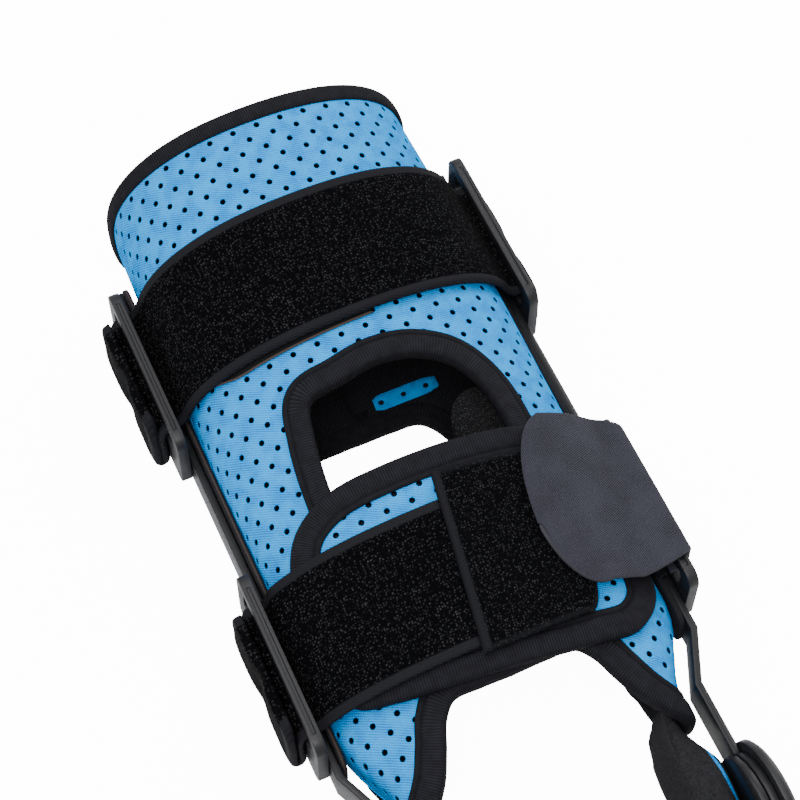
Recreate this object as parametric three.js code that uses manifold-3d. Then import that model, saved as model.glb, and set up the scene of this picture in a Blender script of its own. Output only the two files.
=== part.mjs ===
// A full-length hinged knee brace, lying on its back with the knee straight.
// Millimetres, +Z up, the floor at Z = 0. The leg runs along Y and the knee hinge turns about an
// axis along X above the origin: the thigh half lies towards +Y, the calf half towards -Y.
//
// Every soft piece is laid out on the leg shell. A place on the shell is a station (the distance
// from the knee along the leg), a girth (the distance round the section from the middle of its
// front, positive towards +X) and a layer (the height above the liner's outer face).

import * as THREE from 'three';
import { mergeVertices } from 'three/addons/utils/BufferGeometryUtils.js';
import Module from 'manifold-3d';

const wasm = await Module();
wasm.setup();

const CLEARANCE = 0.3;
const PLY_GAP = 0.6;

// Leg shell
const HALF_LENGTH = 288;
const HALF_WIDTH = 59.5;
const THIGH_TOP = 80;
const CALF_TOP = 66;
const FRONT_ROUND = 2.3;
const BACK_ROUND = 2.9;
const BACK_SAG = 1.5;

// Liner and its binding tape
const LINER_WALL = 3;
const TAPE = 1;
const TAPE_GAP = 0.55;
const EDGE_GAP = 0.4;
const TAPE_WIDTH = 8.5;
const RIM_TAPE_WIDTH = 5;
const TAIL_END = 34;
const BACK_ARCH_HALF = 50;
const BACK_ARCH_RISE = 5;

// Window over the thigh
const WINDOW_CENTRE = 2;
const WINDOW_HALF = 34;
const WINDOW_SETBACK = 13;
const WINDOW_UNDERLAP = 24;

// Wrap-over flap that closes the front above the knee
const FLAP_WALL = 2;
const FLAP_HALF = 54;
const FLAP_ABOVE = 43;
const FLAP_BELOW = 35;
const BRIDGE_DROP = 2;

// Straps, the pile patch and the hook tab
const STRAP_WIDTH = 50;
const STRAP_WALL = 2;
const STRAP_FOLD = 18;
const PLY_PITCH = 2.9;
const PATCH_LEFT = 3;
const PATCH_HALF = 28;
const PATCH_SHIFT = 5;
const PATCH_WALL = 2.6;
const PATCH_EDGE_GAP = 1;
const TAB_TIP = 24;
const TAB_HALF = 31;
const TAB_SHIFT = 8;
const TAB_WALL = 1.8;
const BACKING_DROP = 4;
const BACKING_WALL = 0.9;

// Uprights, their pads and the strap loops
const UPRIGHT_WALL = 2.7;
const UPRIGHT_HEIGHT = 14;
const UPRIGHT_SETBACK = 26;
const PAD_WALL = 2;
const PAD_MARGIN = 2;
const JOG_OUT = 62;
const JOG_IN = 44;
const LOOP_LENGTH = 68;
const LOOP_WALL = 3.8;
const LOOP_RAIL = 5;
const LOOP_POST = 6;
const LOOP_CORNER = 5;
const SLOT_HEIGHT = 7.5;
const SLOT_RISE = 2.5;
const UPPER_LOOP_SETBACK = 67;
const LOWER_LOOP_AT = 101;
const RIGHT_LOOP_SHIFT = 4;

// Knee hinge
const HINGE_HEIGHT = 28;
const HINGE_RADIUS = 19;
const HINGE_INSET = 0.8;
const PIN_RADIUS = 4;
const PIN_CLEARANCE = 0.5;
const COVER_RADIUS = 22;
const COVER_WALL = 6;
const KNEE_PAD_REACH = 48;
const KNEE_PAD_RADIUS = 30;
const KNEE_PAD_WALL = 4;

// Inner hook pad that shows through the window
const HOOK_PAD_LEFT = 17;
const HOOK_PAD_RIGHT = 48;
const HOOK_PAD_HEIGHT = 38;
const HOOK_PAD_SETBACK = 19;
const HOOK_PAD_WALL = 2;

// Faceting
const GIRTH_STEPS = 32;
const EDGE_STEPS = 2;
const FRONT_STEPS = 7;
const TAB_STEPS = 8;
const HINGE_STEPS = 20;
const PIN_STEPS = 16;
const CORNER_STEPS = 2;
const SECTION_SAMPLES = 360;

const REST_HEIGHT = TAPE + TAPE_GAP;
const PAD_INNER = HALF_WIDTH + CLEARANCE;
const UPRIGHT_INNER = PAD_INNER + PAD_WALL + CLEARANCE;
const UPRIGHT_OUTER = UPRIGHT_INNER + UPRIGHT_WALL;
const LOOP_INNER = UPRIGHT_OUTER + CLEARANCE;
const LOOP_OUTER = LOOP_INNER + LOOP_WALL;
const UPRIGHT_LOW = HINGE_HEIGHT - UPRIGHT_HEIGHT / 2;
const UPRIGHT_TOP = HINGE_HEIGHT + UPRIGHT_HEIGHT / 2;
const SLOT_LOW = UPRIGHT_TOP + SLOT_RISE;
const SLOT_TOP = SLOT_LOW + SLOT_HEIGHT;
const LOOP_TOP = SLOT_TOP + LOOP_RAIL;
const SLOT_MIDDLE = (SLOT_LOW + SLOT_TOP) / 2;
const UPRIGHT_END = HALF_LENGTH - UPRIGHT_SETBACK;
const UPPER_LOOP_AT = HALF_LENGTH - UPPER_LOOP_SETBACK;

const FLAP_TOP = LOWER_LOOP_AT + FLAP_ABOVE;
const FLAP_LOW = LOWER_LOOP_AT - FLAP_BELOW;
const BRIDGE_EDGE = FLAP_LOW - BRIDGE_DROP;
const WINDOW_LOW = FLAP_TOP - WINDOW_UNDERLAP;
const WINDOW_TOP = UPPER_LOOP_AT - STRAP_WIDTH / 2 - WINDOW_SETBACK;
const BACK_ARCH_TOP = WINDOW_TOP + BACK_ARCH_RISE;

// Layers over the liner's outer face, from the cloth outwards
const TAPE_TOP = TAPE_GAP + TAPE;
const FLAP_LAYER = TAPE_TOP + PLY_GAP;
const FLAP_FACE = FLAP_LAYER + FLAP_WALL;
const CALF_STRAP_LAYER = PLY_GAP;
const UPPER_STRAP_LAYER = TAPE_TOP + PLY_GAP;
const LOWER_STRAP_LAYER = FLAP_FACE + TAPE_TOP + PLY_GAP;
const PATCH_LAYER = LOWER_STRAP_LAYER;
const TAB_LAYER = PATCH_LAYER + PATCH_WALL + PLY_GAP;
const INNER_LAYER = -LINER_WALL - PLY_GAP - CLEARANCE;

// Shell sections. Each row stands at a share of the half's length and gives the half width as a
// share of HALF_WIDTH, and the height of the front and of the widest line as shares of the top.
// The rows are the shares at which the liner's facets meet.
const THIGH = {
  side: 1,
  top: THIGH_TOP,
  rows: [0.15, 0.175, 0.2, 0.225, 0.26, 0.46, 0.66],
  sections: [
    { at: 0.0, width: 0.82, top: 0.49, belt: 0.375 },
    { at: 0.14, width: 0.82, top: 0.555, belt: 0.38 },
    { at: 0.26, width: 1.0, top: 0.615, belt: 0.39 },
    { at: 0.66, width: 1.0, top: 0.825, belt: 0.44 },
    { at: 1.0, width: 0.95, top: 1.0, belt: 0.475 },
  ],
};
const CALF = {
  side: -1,
  top: CALF_TOP,
  rows: [0.15, 0.175, 0.2, 0.225, 0.26, 0.39, 0.52, 0.78],
  sections: [
    { at: 0.0, width: 0.82, top: 0.6, belt: 0.455 },
    { at: 0.14, width: 0.82, top: 0.68, belt: 0.46 },
    { at: 0.26, width: 1.0, top: 0.78, belt: 0.47 },
    { at: 0.52, width: 1.0, top: 0.98, belt: 0.48 },
    { at: 0.78, width: 0.97, top: 0.95, belt: 0.46 },
    { at: 1.0, width: 0.92, top: 0.85, belt: 0.44 },
  ],
};

// Value of one column at a share of the length, joined smoothly without overshoot.
function column(rows, name, share) {
  const last = rows.length - 1;
  const at = Math.min(Math.max(share, rows[0].at), rows[last].at);
  const k = Math.min(rows.findIndex((row, i) => i === last || at <= rows[i + 1].at), last - 1);
  const slopes = rows.slice(1).map((row, i) => (row[name] - rows[i][name]) / (row.at - rows[i].at));
  const tangent = (i) => {
    if (i === 0) return slopes[0];
    if (i === last) return slopes[last - 1];
    const product = slopes[i - 1] * slopes[i];
    return product <= 0 ? 0 : (2 * product) / (slopes[i - 1] + slopes[i]);
  };
  const span = rows[k + 1].at - rows[k].at;
  const t = (at - rows[k].at) / span;
  const rise = rows[k + 1][name] - rows[k][name];
  const bend = tangent(k) * span;
  const land = tangent(k + 1) * span;
  return rows[k][name] + bend * t + (3 * rise - 2 * bend - land) * t * t
    + (bend + land - 2 * rise) * t * t * t;
}

// Outline of the shell's section at a station, sampled from the middle of the front round the
// +X side to the middle of the back: points, outward normals and the distance run.
const sectionCache = new Map();
function section(half, station) {
  const key = `${half.side}:${station.toFixed(3)}`;
  if (sectionCache.has(key)) return sectionCache.get(key);
  const share = station / HALF_LENGTH;
  const width = HALF_WIDTH * column(half.sections, 'width', share);
  const top = half.top * column(half.sections, 'top', share);
  const belt = half.top * column(half.sections, 'belt', share);
  const points = [];
  for (let i = 0; i <= SECTION_SAMPLES; i += 1) {
    const angle = (Math.PI * i) / SECTION_SAMPLES;
    const front = Math.cos(angle) >= 0;
    const power = 2 / (front ? FRONT_ROUND : BACK_ROUND);
    const across = width * Math.sin(angle) ** power;
    const rise = front ? top - belt : -(belt + BACK_SAG);
    const height = belt + rise * Math.abs(Math.cos(angle)) ** power;
    points.push(new THREE.Vector2(across, Math.max(height, REST_HEIGHT)));
  }
  const run = [0];
  for (let i = 1; i <= SECTION_SAMPLES; i += 1) {
    run.push(run[i - 1] + points[i].distanceTo(points[i - 1]));
  }
  const result = { points, run, girth: run[SECTION_SAMPLES] };
  sectionCache.set(key, result);
  return result;
}

const MIRROR_X = new THREE.Vector2(-1, 1);

// Point and outward normal of the section, in the X-Z plane, at a signed girth.
function onSection(half, station, girth) {
  const { points, run, girth: whole } = section(half, station);
  let distance = girth;
  if (distance > whole) distance -= 2 * whole;
  if (distance < -whole) distance += 2 * whole;
  const mirrored = distance < 0;
  distance = Math.abs(distance);
  let low = 0;
  let high = SECTION_SAMPLES;
  while (high - low > 1) {
    const middle = (low + high) >> 1;
    if (run[middle] > distance) high = middle;
    else low = middle;
  }
  const share = (distance - run[low]) / (run[high] - run[low]);
  const point = points[low].clone().lerp(points[high], Math.min(share, 1));
  const before = points[Math.max(low - 2, 0)];
  const after = points[Math.min(high + 2, SECTION_SAMPLES)];
  const along = after.clone().sub(before);
  if (low < 2) along.set(1, 0);
  if (high > SECTION_SAMPLES - 2) along.set(-1, 0);
  const normal = new THREE.Vector2(-along.y, along.x).normalize();
  if (mirrored) {
    point.multiply(MIRROR_X);
    normal.multiply(MIRROR_X);
  }
  return { point, normal };
}

// A point of the shell at a station, girth and layer.
function onShell(half, station, girth, layer) {
  const { point, normal } = onSection(half, station, girth);
  return new THREE.Vector3(
    point.x + normal.x * layer,
    half.side * station,
    point.y + normal.y * layer,
  );
}

// Girth on the +X side at which the front reaches a share of the half width.
function girthAtWidth(half, station, share) {
  const { points, run } = section(half, station);
  const widest = Math.max(...points.map((point) => point.x));
  return run[points.findIndex((point) => point.x >= share * widest)];
}

function geometryFrom(vertices, faces) {
  const flat = vertices.flatMap((vertex) => [vertex.x, vertex.y, vertex.z]);
  let volume = 0;
  for (const [a, b, c] of faces) {
    volume += vertices[a].dot(vertices[b].clone().cross(vertices[c]));
  }
  const outward = volume > 0 ? faces : faces.map(([a, b, c]) => [a, c, b]);
  const geometry = new THREE.BufferGeometry();
  geometry.setAttribute('position', new THREE.Float32BufferAttribute(flat, 3));
  geometry.setIndex(outward.flat());
  return geometry;
}

// Closed solid from rows of rings: each ring is a closed section, the rings follow each other
// along a path that is closed too, or ends in two flat caps.
function sweptSolid(rings, closedPath) {
  const size = rings[0].length;
  const vertices = rings.flat();
  const faces = [];
  const steps = closedPath ? rings.length : rings.length - 1;
  for (let i = 0; i < steps; i += 1) {
    const here = i * size;
    const next = ((i + 1) % rings.length) * size;
    for (let j = 0; j < size; j += 1) {
      const k = (j + 1) % size;
      faces.push([here + j, next + j, next + k], [here + j, next + k, here + k]);
    }
  }
  if (!closedPath) {
    const last = (rings.length - 1) * size;
    for (let j = 1; j < size - 1; j += 1) {
      faces.push([0, j, j + 1], [last, last + j + 1, last + j]);
    }
  }
  return geometryFrom(vertices, faces);
}

// The same mesh with its vertices joined and nothing but their positions kept.
function welded(geometry) {
  const bare = geometry.clone();
  bare.deleteAttribute('normal');
  bare.deleteAttribute('uv');
  return mergeVertices(bare, 1e-4);
}

function solidOf(geometry) {
  const merged = welded(geometry);
  return new wasm.Manifold(new wasm.Mesh({
    numProp: 3,
    vertProperties: new Float32Array(merged.attributes.position.array),
    triVerts: new Uint32Array(merged.index.array),
  }));
}

function geometryOf(solid) {
  const { vertProperties, triVerts } = solid.getMesh();
  const geometry = new THREE.BufferGeometry();
  geometry.setAttribute('position', new THREE.BufferAttribute(vertProperties, 3));
  geometry.setIndex(new THREE.BufferAttribute(triVerts, 1));
  return geometry;
}

const FINISHES = {
  knit: { color: 0x3fb0ec, roughness: 0.9, metalness: 0 },
  binding: { color: 0x17171b, roughness: 0.85, metalness: 0 },
  pile: { color: 0x101013, roughness: 0.95, metalness: 0 },
  hook: { color: 0x3b3b44, roughness: 0.7, metalness: 0 },
  foam: { color: 0x22201f, roughness: 0.9, metalness: 0 },
  frame: { color: 0x34343a, roughness: 0.4, metalness: 0.2 },
};

const brace = new THREE.Group();
function addPiece(name, geometry, finish) {
  const mesh = new THREE.Mesh(geometry, new THREE.MeshStandardMaterial(FINISHES[finish]));
  mesh.name = name;
  brace.add(mesh);
  return mesh;
}

// Smooth closed outline through girth and station pairs, with a few steps from each to the next.
function closedOutline(pairs, steps) {
  const points = pairs.map(([girth, station]) => new THREE.Vector3(girth, station, 0));
  const curve = new THREE.CatmullRomCurve3(points, true, 'centripetal');
  return curve.getPoints(steps * points.length).slice(0, -1)
    .map(({ x, y }) => ({ girth: x, station: y }));
}

// Edge that runs right round the shell, the same on both sides. The pairs go from the middle of
// the front to the middle of the back.
function roundOutline(pairs, steps) {
  const points = pairs.map(([girth, station]) => new THREE.Vector3(girth, station, 0));
  const curve = new THREE.CatmullRomCurve3(points, false, 'centripetal');
  const right = curve.getPoints(steps * (points.length - 1))
    .map(({ x, y }) => ({ girth: x, station: y }));
  const left = right.slice(1, -1).reverse().map(({ girth, station }) => ({ girth: -girth, station }));
  return [...right, ...left];
}

// Unit direction across an outline at a point, towards its left.
function acrossOutline(half, outline, i) {
  const before = outline[(i + outline.length - 1) % outline.length];
  const after = outline[(i + 1) % outline.length];
  const whole = 2 * section(half, outline[i].station).girth;
  let run = after.girth - before.girth;
  run -= whole * Math.round(run / whole);
  return new THREE.Vector2(before.station - after.station, run).normalize();
}

// Tape round an edge: a profile of [distance in from the edge, layer] pairs is carried along the
// outline. inward is 1 where the cloth lies left of the outline, -1 where it lies right of it.
function edgeTape(half, outline, profile, inward) {
  const rings = outline.map(({ girth, station }, i) => {
    const across = acrossOutline(half, outline, i).multiplyScalar(inward);
    return profile.map(([distance, layer]) => (
      onShell(half, station + across.y * distance, girth + across.x * distance, layer)));
  });
  return sweptSolid(rings, true);
}

// The tape lies on the outer face and turns over the edge.
function tapeProfile(width, outerLayer, wall) {
  const low = outerLayer + TAPE_GAP;
  const top = low + TAPE;
  const foot = outerLayer - wall;
  return [
    [width / 2, low], [width, low], [width, top], [-EDGE_GAP - TAPE, top],
    [-EDGE_GAP - TAPE, foot], [-EDGE_GAP, foot], [-EDGE_GAP, low],
  ];
}

// A patch of cloth or padding inside an outline. The layers come from the share of the way from
// the middle (0) to the edge (1).
function patchOnShell(half, outline, centre, shares, topLayer, lowLayer) {
  const vertices = [
    onShell(half, centre.station, centre.girth, topLayer(0)),
    onShell(half, centre.station, centre.girth, lowLayer(0)),
  ];
  const count = outline.length;
  for (const share of shares) {
    for (const { girth, station } of outline) {
      const g = centre.girth + (girth - centre.girth) * share;
      const s = centre.station + (station - centre.station) * share;
      vertices.push(onShell(half, s, g, topLayer(share)), onShell(half, s, g, lowLayer(share)));
    }
  }
  const at = (ring, i, face) => 2 + (ring * count + (i % count)) * 2 + face;
  const faces = [];
  for (let i = 0; i < count; i += 1) {
    faces.push([0, at(0, i, 0), at(0, i + 1, 0)], [1, at(0, i + 1, 1), at(0, i, 1)]);
    for (let ring = 1; ring < shares.length; ring += 1) {
      const [a, b] = [at(ring - 1, i, 0), at(ring - 1, i + 1, 0)];
      const [c, d] = [at(ring, i, 0), at(ring, i + 1, 0)];
      faces.push([a, c, d], [a, d, b], [a + 1, d + 1, c + 1], [a + 1, b + 1, d + 1]);
    }
    const rim = shares.length - 1;
    const [a, b] = [at(rim, i, 0), at(rim, i + 1, 0)];
    faces.push([a, a + 1, b + 1], [a, b + 1, b]);
  }
  return geometryFrom(vertices, faces);
}

// Closed wall of the shell between two stations.
function tube(half, from, to) {
  const between = half.rows.map((share) => share * HALF_LENGTH).filter((s) => s > from && s < to);
  const at = [from, ...between, to];
  const rings = [];
  for (let i = 0; i < GIRTH_STEPS; i += 1) {
    const share = (2 * i) / GIRTH_STEPS - 1;
    const round = (station, layer) => (
      onShell(half, station, section(half, station).girth * share, layer));
    rings.push([
      ...at.map((station) => round(station, 0)),
      ...at.map((station) => round(station, -LINER_WALL)).reverse(),
    ]);
  }
  return sweptSolid(rings, true);
}

// Cutter that clears the wall inside a closed outline.
function windowCutter(half, outline, centre, reach) {
  return patchOnShell(half, outline, centre, [1], () => reach, () => -reach);
}

// Cutter that clears the wall on the knee side of an edge that runs right round the shell.
function kneeSideCutter(half, outline, beyond, reach) {
  const rings = outline.map(({ girth, station }) => [
    onShell(half, station, girth, reach),
    onShell(half, beyond, girth, reach),
    onShell(half, beyond, girth, -reach),
    onShell(half, station, girth, -reach),
  ]);
  return sweptSolid(rings, true);
}

// Liner edges

// Edge above the knee on one side, from the middle of the front round the tail's end to the back.
// Rounds are shares of HALF_WIDTH in front and of BACK_ARCH_HALF behind, rises are shares of the
// way from the tail's end up to the bridge or the top of the back arch.
const FRONT_ARCH = [
  { round: 0.0, rise: 1.0 }, { round: 0.2, rise: 1.01 }, { round: 0.37, rise: 1.0 },
  { round: 0.46, rise: 0.85 }, { round: 0.53, rise: 0.6 }, { round: 0.62, rise: 0.33 },
  { round: 0.74, rise: 0.13 }, { round: 0.88, rise: 0.02 },
];
const BACK_ARCH = [
  { round: 1.1, rise: 0.015 }, { round: 0.98, rise: 0.07 }, { round: 0.93, rise: 0.13 },
  { round: 0.88, rise: 0.2 },
  { round: 0.76, rise: 0.42 }, { round: 0.67, rise: 0.7 }, { round: 0.6, rise: 0.9 },
  { round: 0.44, rise: 0.99 }, { round: 0.2, rise: 1.0 }, { round: 0.0, rise: 1.0 },
];
function kneeEdge(half, bridge, archTop) {
  const front = FRONT_ARCH.map(({ round, rise }) => (
    [round * HALF_WIDTH, TAIL_END + rise * (bridge - TAIL_END)]));
  const back = BACK_ARCH.map(({ round, rise }) => {
    const station = TAIL_END + rise * (archTop - TAIL_END);
    return [section(half, station).girth - round * BACK_ARCH_HALF, station];
  });
  return roundOutline([...front, ...back], EDGE_STEPS);
}

// Edge of the window: across is a share of WINDOW_HALF, rise of the window's height.
const WINDOW_EDGE = [
  { across: -0.95, rise: 0.0 }, { across: -0.4, rise: -0.05 }, { across: 0.4, rise: -0.05 },
  { across: 0.98, rise: 0.0 }, { across: 1.03, rise: 0.35 }, { across: 0.97, rise: 0.66 },
  { across: 0.76, rise: 0.86 }, { across: 0.4, rise: 0.97 }, { across: 0.0, rise: 1.0 },
  { across: -0.4, rise: 0.97 }, { across: -0.78, rise: 0.93 }, { across: -0.9, rise: 0.74 },
  { across: -0.98, rise: 0.4 },
];
const windowOutline = closedOutline(
  WINDOW_EDGE.map(({ across, rise }) => (
    [WINDOW_CENTRE + across * WINDOW_HALF, WINDOW_LOW + rise * (WINDOW_TOP - WINDOW_LOW)])),
  EDGE_STEPS,
);
const windowMiddle = { girth: WINDOW_CENTRE, station: (WINDOW_LOW + WINDOW_TOP) / 2 };

const CUT_REACH = 8;
const thighKneeEdge = kneeEdge(THIGH, BRIDGE_EDGE, BACK_ARCH_TOP);
const calfKneeEdge = kneeEdge(CALF, BRIDGE_EDGE, (BRIDGE_EDGE + LOWER_LOOP_AT) / 2);

// Room along an edge for the part of the tape that turns over it.
const TAPE_ROOM = [
  [0, TAPE_TOP], [-CUT_REACH / 2, TAPE_TOP],
  [-CUT_REACH / 2, -LINER_WALL - TAPE], [0, -LINER_WALL - TAPE],
];

function liner(half, kneeOutline) {
  const wall = solidOf(tube(half, TAIL_END - LINER_WALL, HALF_LENGTH - EDGE_GAP - TAPE));
  const knee = solidOf(kneeSideCutter(half, kneeOutline, 0, CUT_REACH));
  const tapeRoom = solidOf(edgeTape(half, kneeOutline, TAPE_ROOM, 1));
  return wall.subtract(knee).subtract(tapeRoom);
}

const windowed = liner(THIGH, thighKneeEdge)
  .subtract(solidOf(windowCutter(THIGH, windowOutline, windowMiddle, CUT_REACH + LINER_WALL)));
addPiece('thigh_liner', geometryOf(windowed), 'knit');
addPiece('calf_liner', geometryOf(liner(CALF, calfKneeEdge)), 'knit');

// Binding tape round a rim: the whole edge lies in one plane.
function rimTape(half) {
  const outline = [];
  for (let i = 0; i < GIRTH_STEPS; i += 1) {
    const share = (2 * i) / GIRTH_STEPS - 1;
    outline.push({
      girth: section(half, HALF_LENGTH).girth * share,
      station: HALF_LENGTH - EDGE_GAP - TAPE,
    });
  }
  const profile = tapeProfile(RIM_TAPE_WIDTH, 0, LINER_WALL)
    .filter(([distance]) => distance !== RIM_TAPE_WIDTH / 2);
  return edgeTape(half, outline, profile, -1);
}
addPiece('thigh_rim_binding', rimTape(THIGH), 'binding');
addPiece('calf_rim_binding', rimTape(CALF), 'binding');

const linerTape = tapeProfile(TAPE_WIDTH, 0, LINER_WALL);
addPiece('thigh_knee_binding', edgeTape(THIGH, thighKneeEdge, linerTape, 1), 'binding');
addPiece('calf_knee_binding', edgeTape(CALF, calfKneeEdge, linerTape, 1), 'binding');
addPiece('window_binding', edgeTape(THIGH, windowOutline, linerTape, -1), 'binding');

// Flap: across is a share of FLAP_HALF, rise of the flap's height.
const FLAP_EDGE = [
  { across: -0.93, rise: 0.16 }, { across: -0.7, rise: 0.1 }, { across: -0.3, rise: 0.06 },
  { across: 0.1, rise: 0.03 }, { across: 0.5, rise: 0.0 }, { across: 0.8, rise: 0.0 },
  { across: 0.96, rise: 0.1 }, { across: 1.0, rise: 0.3 }, { across: 1.0, rise: 0.6 },
  { across: 0.95, rise: 0.82 }, { across: 0.75, rise: 0.94 }, { across: 0.3, rise: 0.99 },
  { across: -0.2, rise: 1.0 }, { across: -0.6, rise: 0.98 }, { across: -0.84, rise: 0.89 },
  { across: -0.97, rise: 0.7 }, { across: -1.0, rise: 0.4 },
];
const flapOutline = closedOutline(
  FLAP_EDGE.map(({ across, rise }) => [across * FLAP_HALF, FLAP_LOW + rise * (FLAP_TOP - FLAP_LOW)]),
  EDGE_STEPS,
);
const flapMiddle = { girth: 0, station: (FLAP_LOW + FLAP_TOP) / 2 };
const FLAP_RINGS = [0.45, 0.78, 1];
addPiece(
  'thigh_flap',
  patchOnShell(THIGH, flapOutline, flapMiddle, FLAP_RINGS, () => FLAP_FACE, () => FLAP_LAYER),
  'knit',
);
addPiece(
  'flap_binding',
  edgeTape(THIGH, flapOutline, tapeProfile(TAPE_WIDTH, FLAP_FACE, FLAP_WALL), 1),
  'binding',
);

// Hook pad inside the window: across from its left end to its right end, rise of its height.
const HOOK_PAD_EDGE = [
  { across: 0.0, rise: 0.5 }, { across: 0.1, rise: 0.15 }, { across: 0.35, rise: 0.0 },
  { across: 0.8, rise: 0.0 }, { across: 1.0, rise: 0.15 }, { across: 1.0, rise: 0.8 },
  { across: 0.8, rise: 0.97 }, { across: 0.35, rise: 1.0 }, { across: 0.1, rise: 0.85 },
];
const HOOK_PAD_TOP = WINDOW_TOP - HOOK_PAD_SETBACK;
const hookPadOutline = closedOutline(
  HOOK_PAD_EDGE.map(({ across, rise }) => [
    HOOK_PAD_LEFT + across * (HOOK_PAD_RIGHT - HOOK_PAD_LEFT),
    HOOK_PAD_TOP - (1 - rise) * HOOK_PAD_HEIGHT,
  ]),
  EDGE_STEPS,
);
const hookPadMiddle = {
  girth: (HOOK_PAD_LEFT + HOOK_PAD_RIGHT) / 2,
  station: HOOK_PAD_TOP - HOOK_PAD_HEIGHT / 2,
};
addPiece(
  'inner_hook_pad',
  patchOnShell(
    THIGH, hookPadOutline, hookPadMiddle, [0.5, 1],
    () => INNER_LAYER, () => INNER_LAYER - HOOK_PAD_WALL,
  ),
  'pile',
);

// Straps

// Ribbon of an even wall. Each row has its middle station, its half width and a place, which
// gives the ribbon's mid-line in the X-Z plane at a station.
const RIBBON_COLUMNS = 2;
function ribbon(half, rows, wall) {
  const rings = rows.map((row, i) => {
    const before = rows[Math.max(i - 1, 0)];
    const after = rows[Math.min(i + 1, rows.length - 1)];
    const top = [];
    const low = [];
    for (let k = 0; k <= RIBBON_COLUMNS; k += 1) {
      const station = row.middle + row.half * ((2 * k) / RIBBON_COLUMNS - 1);
      const along = after.place(station).sub(before.place(station)).normalize();
      const lift = new THREE.Vector2(-along.y, along.x).multiplyScalar(wall / 2);
      const at = row.place(station);
      top.push(new THREE.Vector3(at.x + lift.x, half.side * station, at.y + lift.y));
      low.push(new THREE.Vector3(at.x - lift.x, half.side * station, at.y - lift.y));
    }
    return [...top, ...low.reverse()];
  });
  return sweptSolid(rings, false);
}

// Place on the shell at a share of the way from the middle of the front to where a strap leaves
// the leg for its loop. Negative shares lie on the -X side.
const LEAVE_SHARE = 0.93;
function strapPlace(half, share, layer) {
  return (station) => {
    const girth = share * girthAtWidth(half, station, LEAVE_SHARE);
    const at = onShell(half, station, girth, layer);
    return new THREE.Vector2(at.x, at.z);
  };
}

function fixedPlace(x, z) {
  return () => new THREE.Vector2(x, z);
}

// Way of a strap's end from the leg out through the loop's slot, down outside and back up.
const FOLD_OUT = LOOP_OUTER + 1.2 + STRAP_WALL;
const FOLD_TOP = SLOT_MIDDLE - 5;
const FOLD_LOW = FOLD_TOP - STRAP_FOLD;
const FOLD_WAY = [
  [LOOP_INNER - STRAP_WALL, SLOT_MIDDLE + STRAP_WALL / 2],
  [(LOOP_INNER + LOOP_OUTER) / 2, SLOT_MIDDLE],
  [LOOP_OUTER + STRAP_WALL * 0.9, SLOT_MIDDLE - STRAP_WALL * 0.8],
  [FOLD_OUT, FOLD_TOP],
  [FOLD_OUT, FOLD_LOW],
  [FOLD_OUT + PLY_PITCH / 2, FOLD_LOW - PLY_PITCH * 0.6],
  [FOLD_OUT + PLY_PITCH, FOLD_LOW],
  [FOLD_OUT + PLY_PITCH, FOLD_TOP - STRAP_WALL],
];

function foldRows(sign, middle) {
  return FOLD_WAY.map(([x, z]) => ({
    middle, half: STRAP_WIDTH / 2, place: fixedPlace(sign * x, z),
  }));
}
function frontRows(half, from, to, layer, middleAt, halfWidth) {
  const rows = [];
  for (let i = 0; i <= FRONT_STEPS; i += 1) {
    const share = from + ((to - from) * i) / FRONT_STEPS;
    rows.push({ middle: middleAt(share), half: halfWidth, place: strapPlace(half, share, layer) });
  }
  return rows;
}

// Strap from loop to loop over the front.
function wholeStrap(half, left, right, layer) {
  const lean = (share) => left + ((right - left) * (share + 1)) / 2;
  const centre = layer + STRAP_WALL / 2;
  return ribbon(half, [
    ...foldRows(-1, left).reverse(),
    ...frontRows(half, -1, 0, centre, lean, STRAP_WIDTH / 2),
    ...frontRows(half, 0, 1, centre, lean, STRAP_WIDTH / 2).slice(1),
    ...foldRows(1, right),
  ], STRAP_WALL);
}

const upperLeft = UPPER_LOOP_AT;
const upperRight = UPPER_LOOP_AT + RIGHT_LOOP_SHIFT;
const lowerLeft = LOWER_LOOP_AT;
const lowerRight = LOWER_LOOP_AT + RIGHT_LOOP_SHIFT;
addPiece('thigh_upper_strap', wholeStrap(THIGH, upperLeft, upperRight, UPPER_STRAP_LAYER), 'pile');
addPiece('calf_lower_strap', wholeStrap(CALF, upperLeft, upperLeft, CALF_STRAP_LAYER), 'pile');
addPiece('calf_upper_strap', wholeStrap(CALF, lowerLeft, lowerLeft, CALF_STRAP_LAYER), 'pile');

// Thin backing that shows as a second edge below the upper thigh strap.
const backingMiddle = (share) => (
  upperLeft - BACKING_DROP + ((upperRight - upperLeft) * (share + 1)) / 2);
addPiece(
  'upper_strap_backing',
  ribbon(
    THIGH,
    frontRows(
      THIGH, 1 / FRONT_STEPS - 1, 1 / FRONT_STEPS,
      TAPE_GAP + BACKING_WALL / 2, backingMiddle, STRAP_WIDTH / 2,
    ),
    BACKING_WALL,
  ),
  'pile',
);

// Lower thigh strap: from the left loop to the pile patch on the flap.
const shareOfGirth = (girth) => girth / girthAtWidth(THIGH, LOWER_LOOP_AT, LEAVE_SHARE);
addPiece(
  'thigh_lower_strap',
  ribbon(THIGH, [
    ...foldRows(-1, lowerLeft).reverse(),
    ...frontRows(
      THIGH, -1, shareOfGirth(PATCH_LEFT - PATCH_EDGE_GAP),
      LOWER_STRAP_LAYER + STRAP_WALL / 2, () => lowerLeft, STRAP_WIDTH / 2,
    ),
  ], STRAP_WALL),
  'pile',
);

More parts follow.
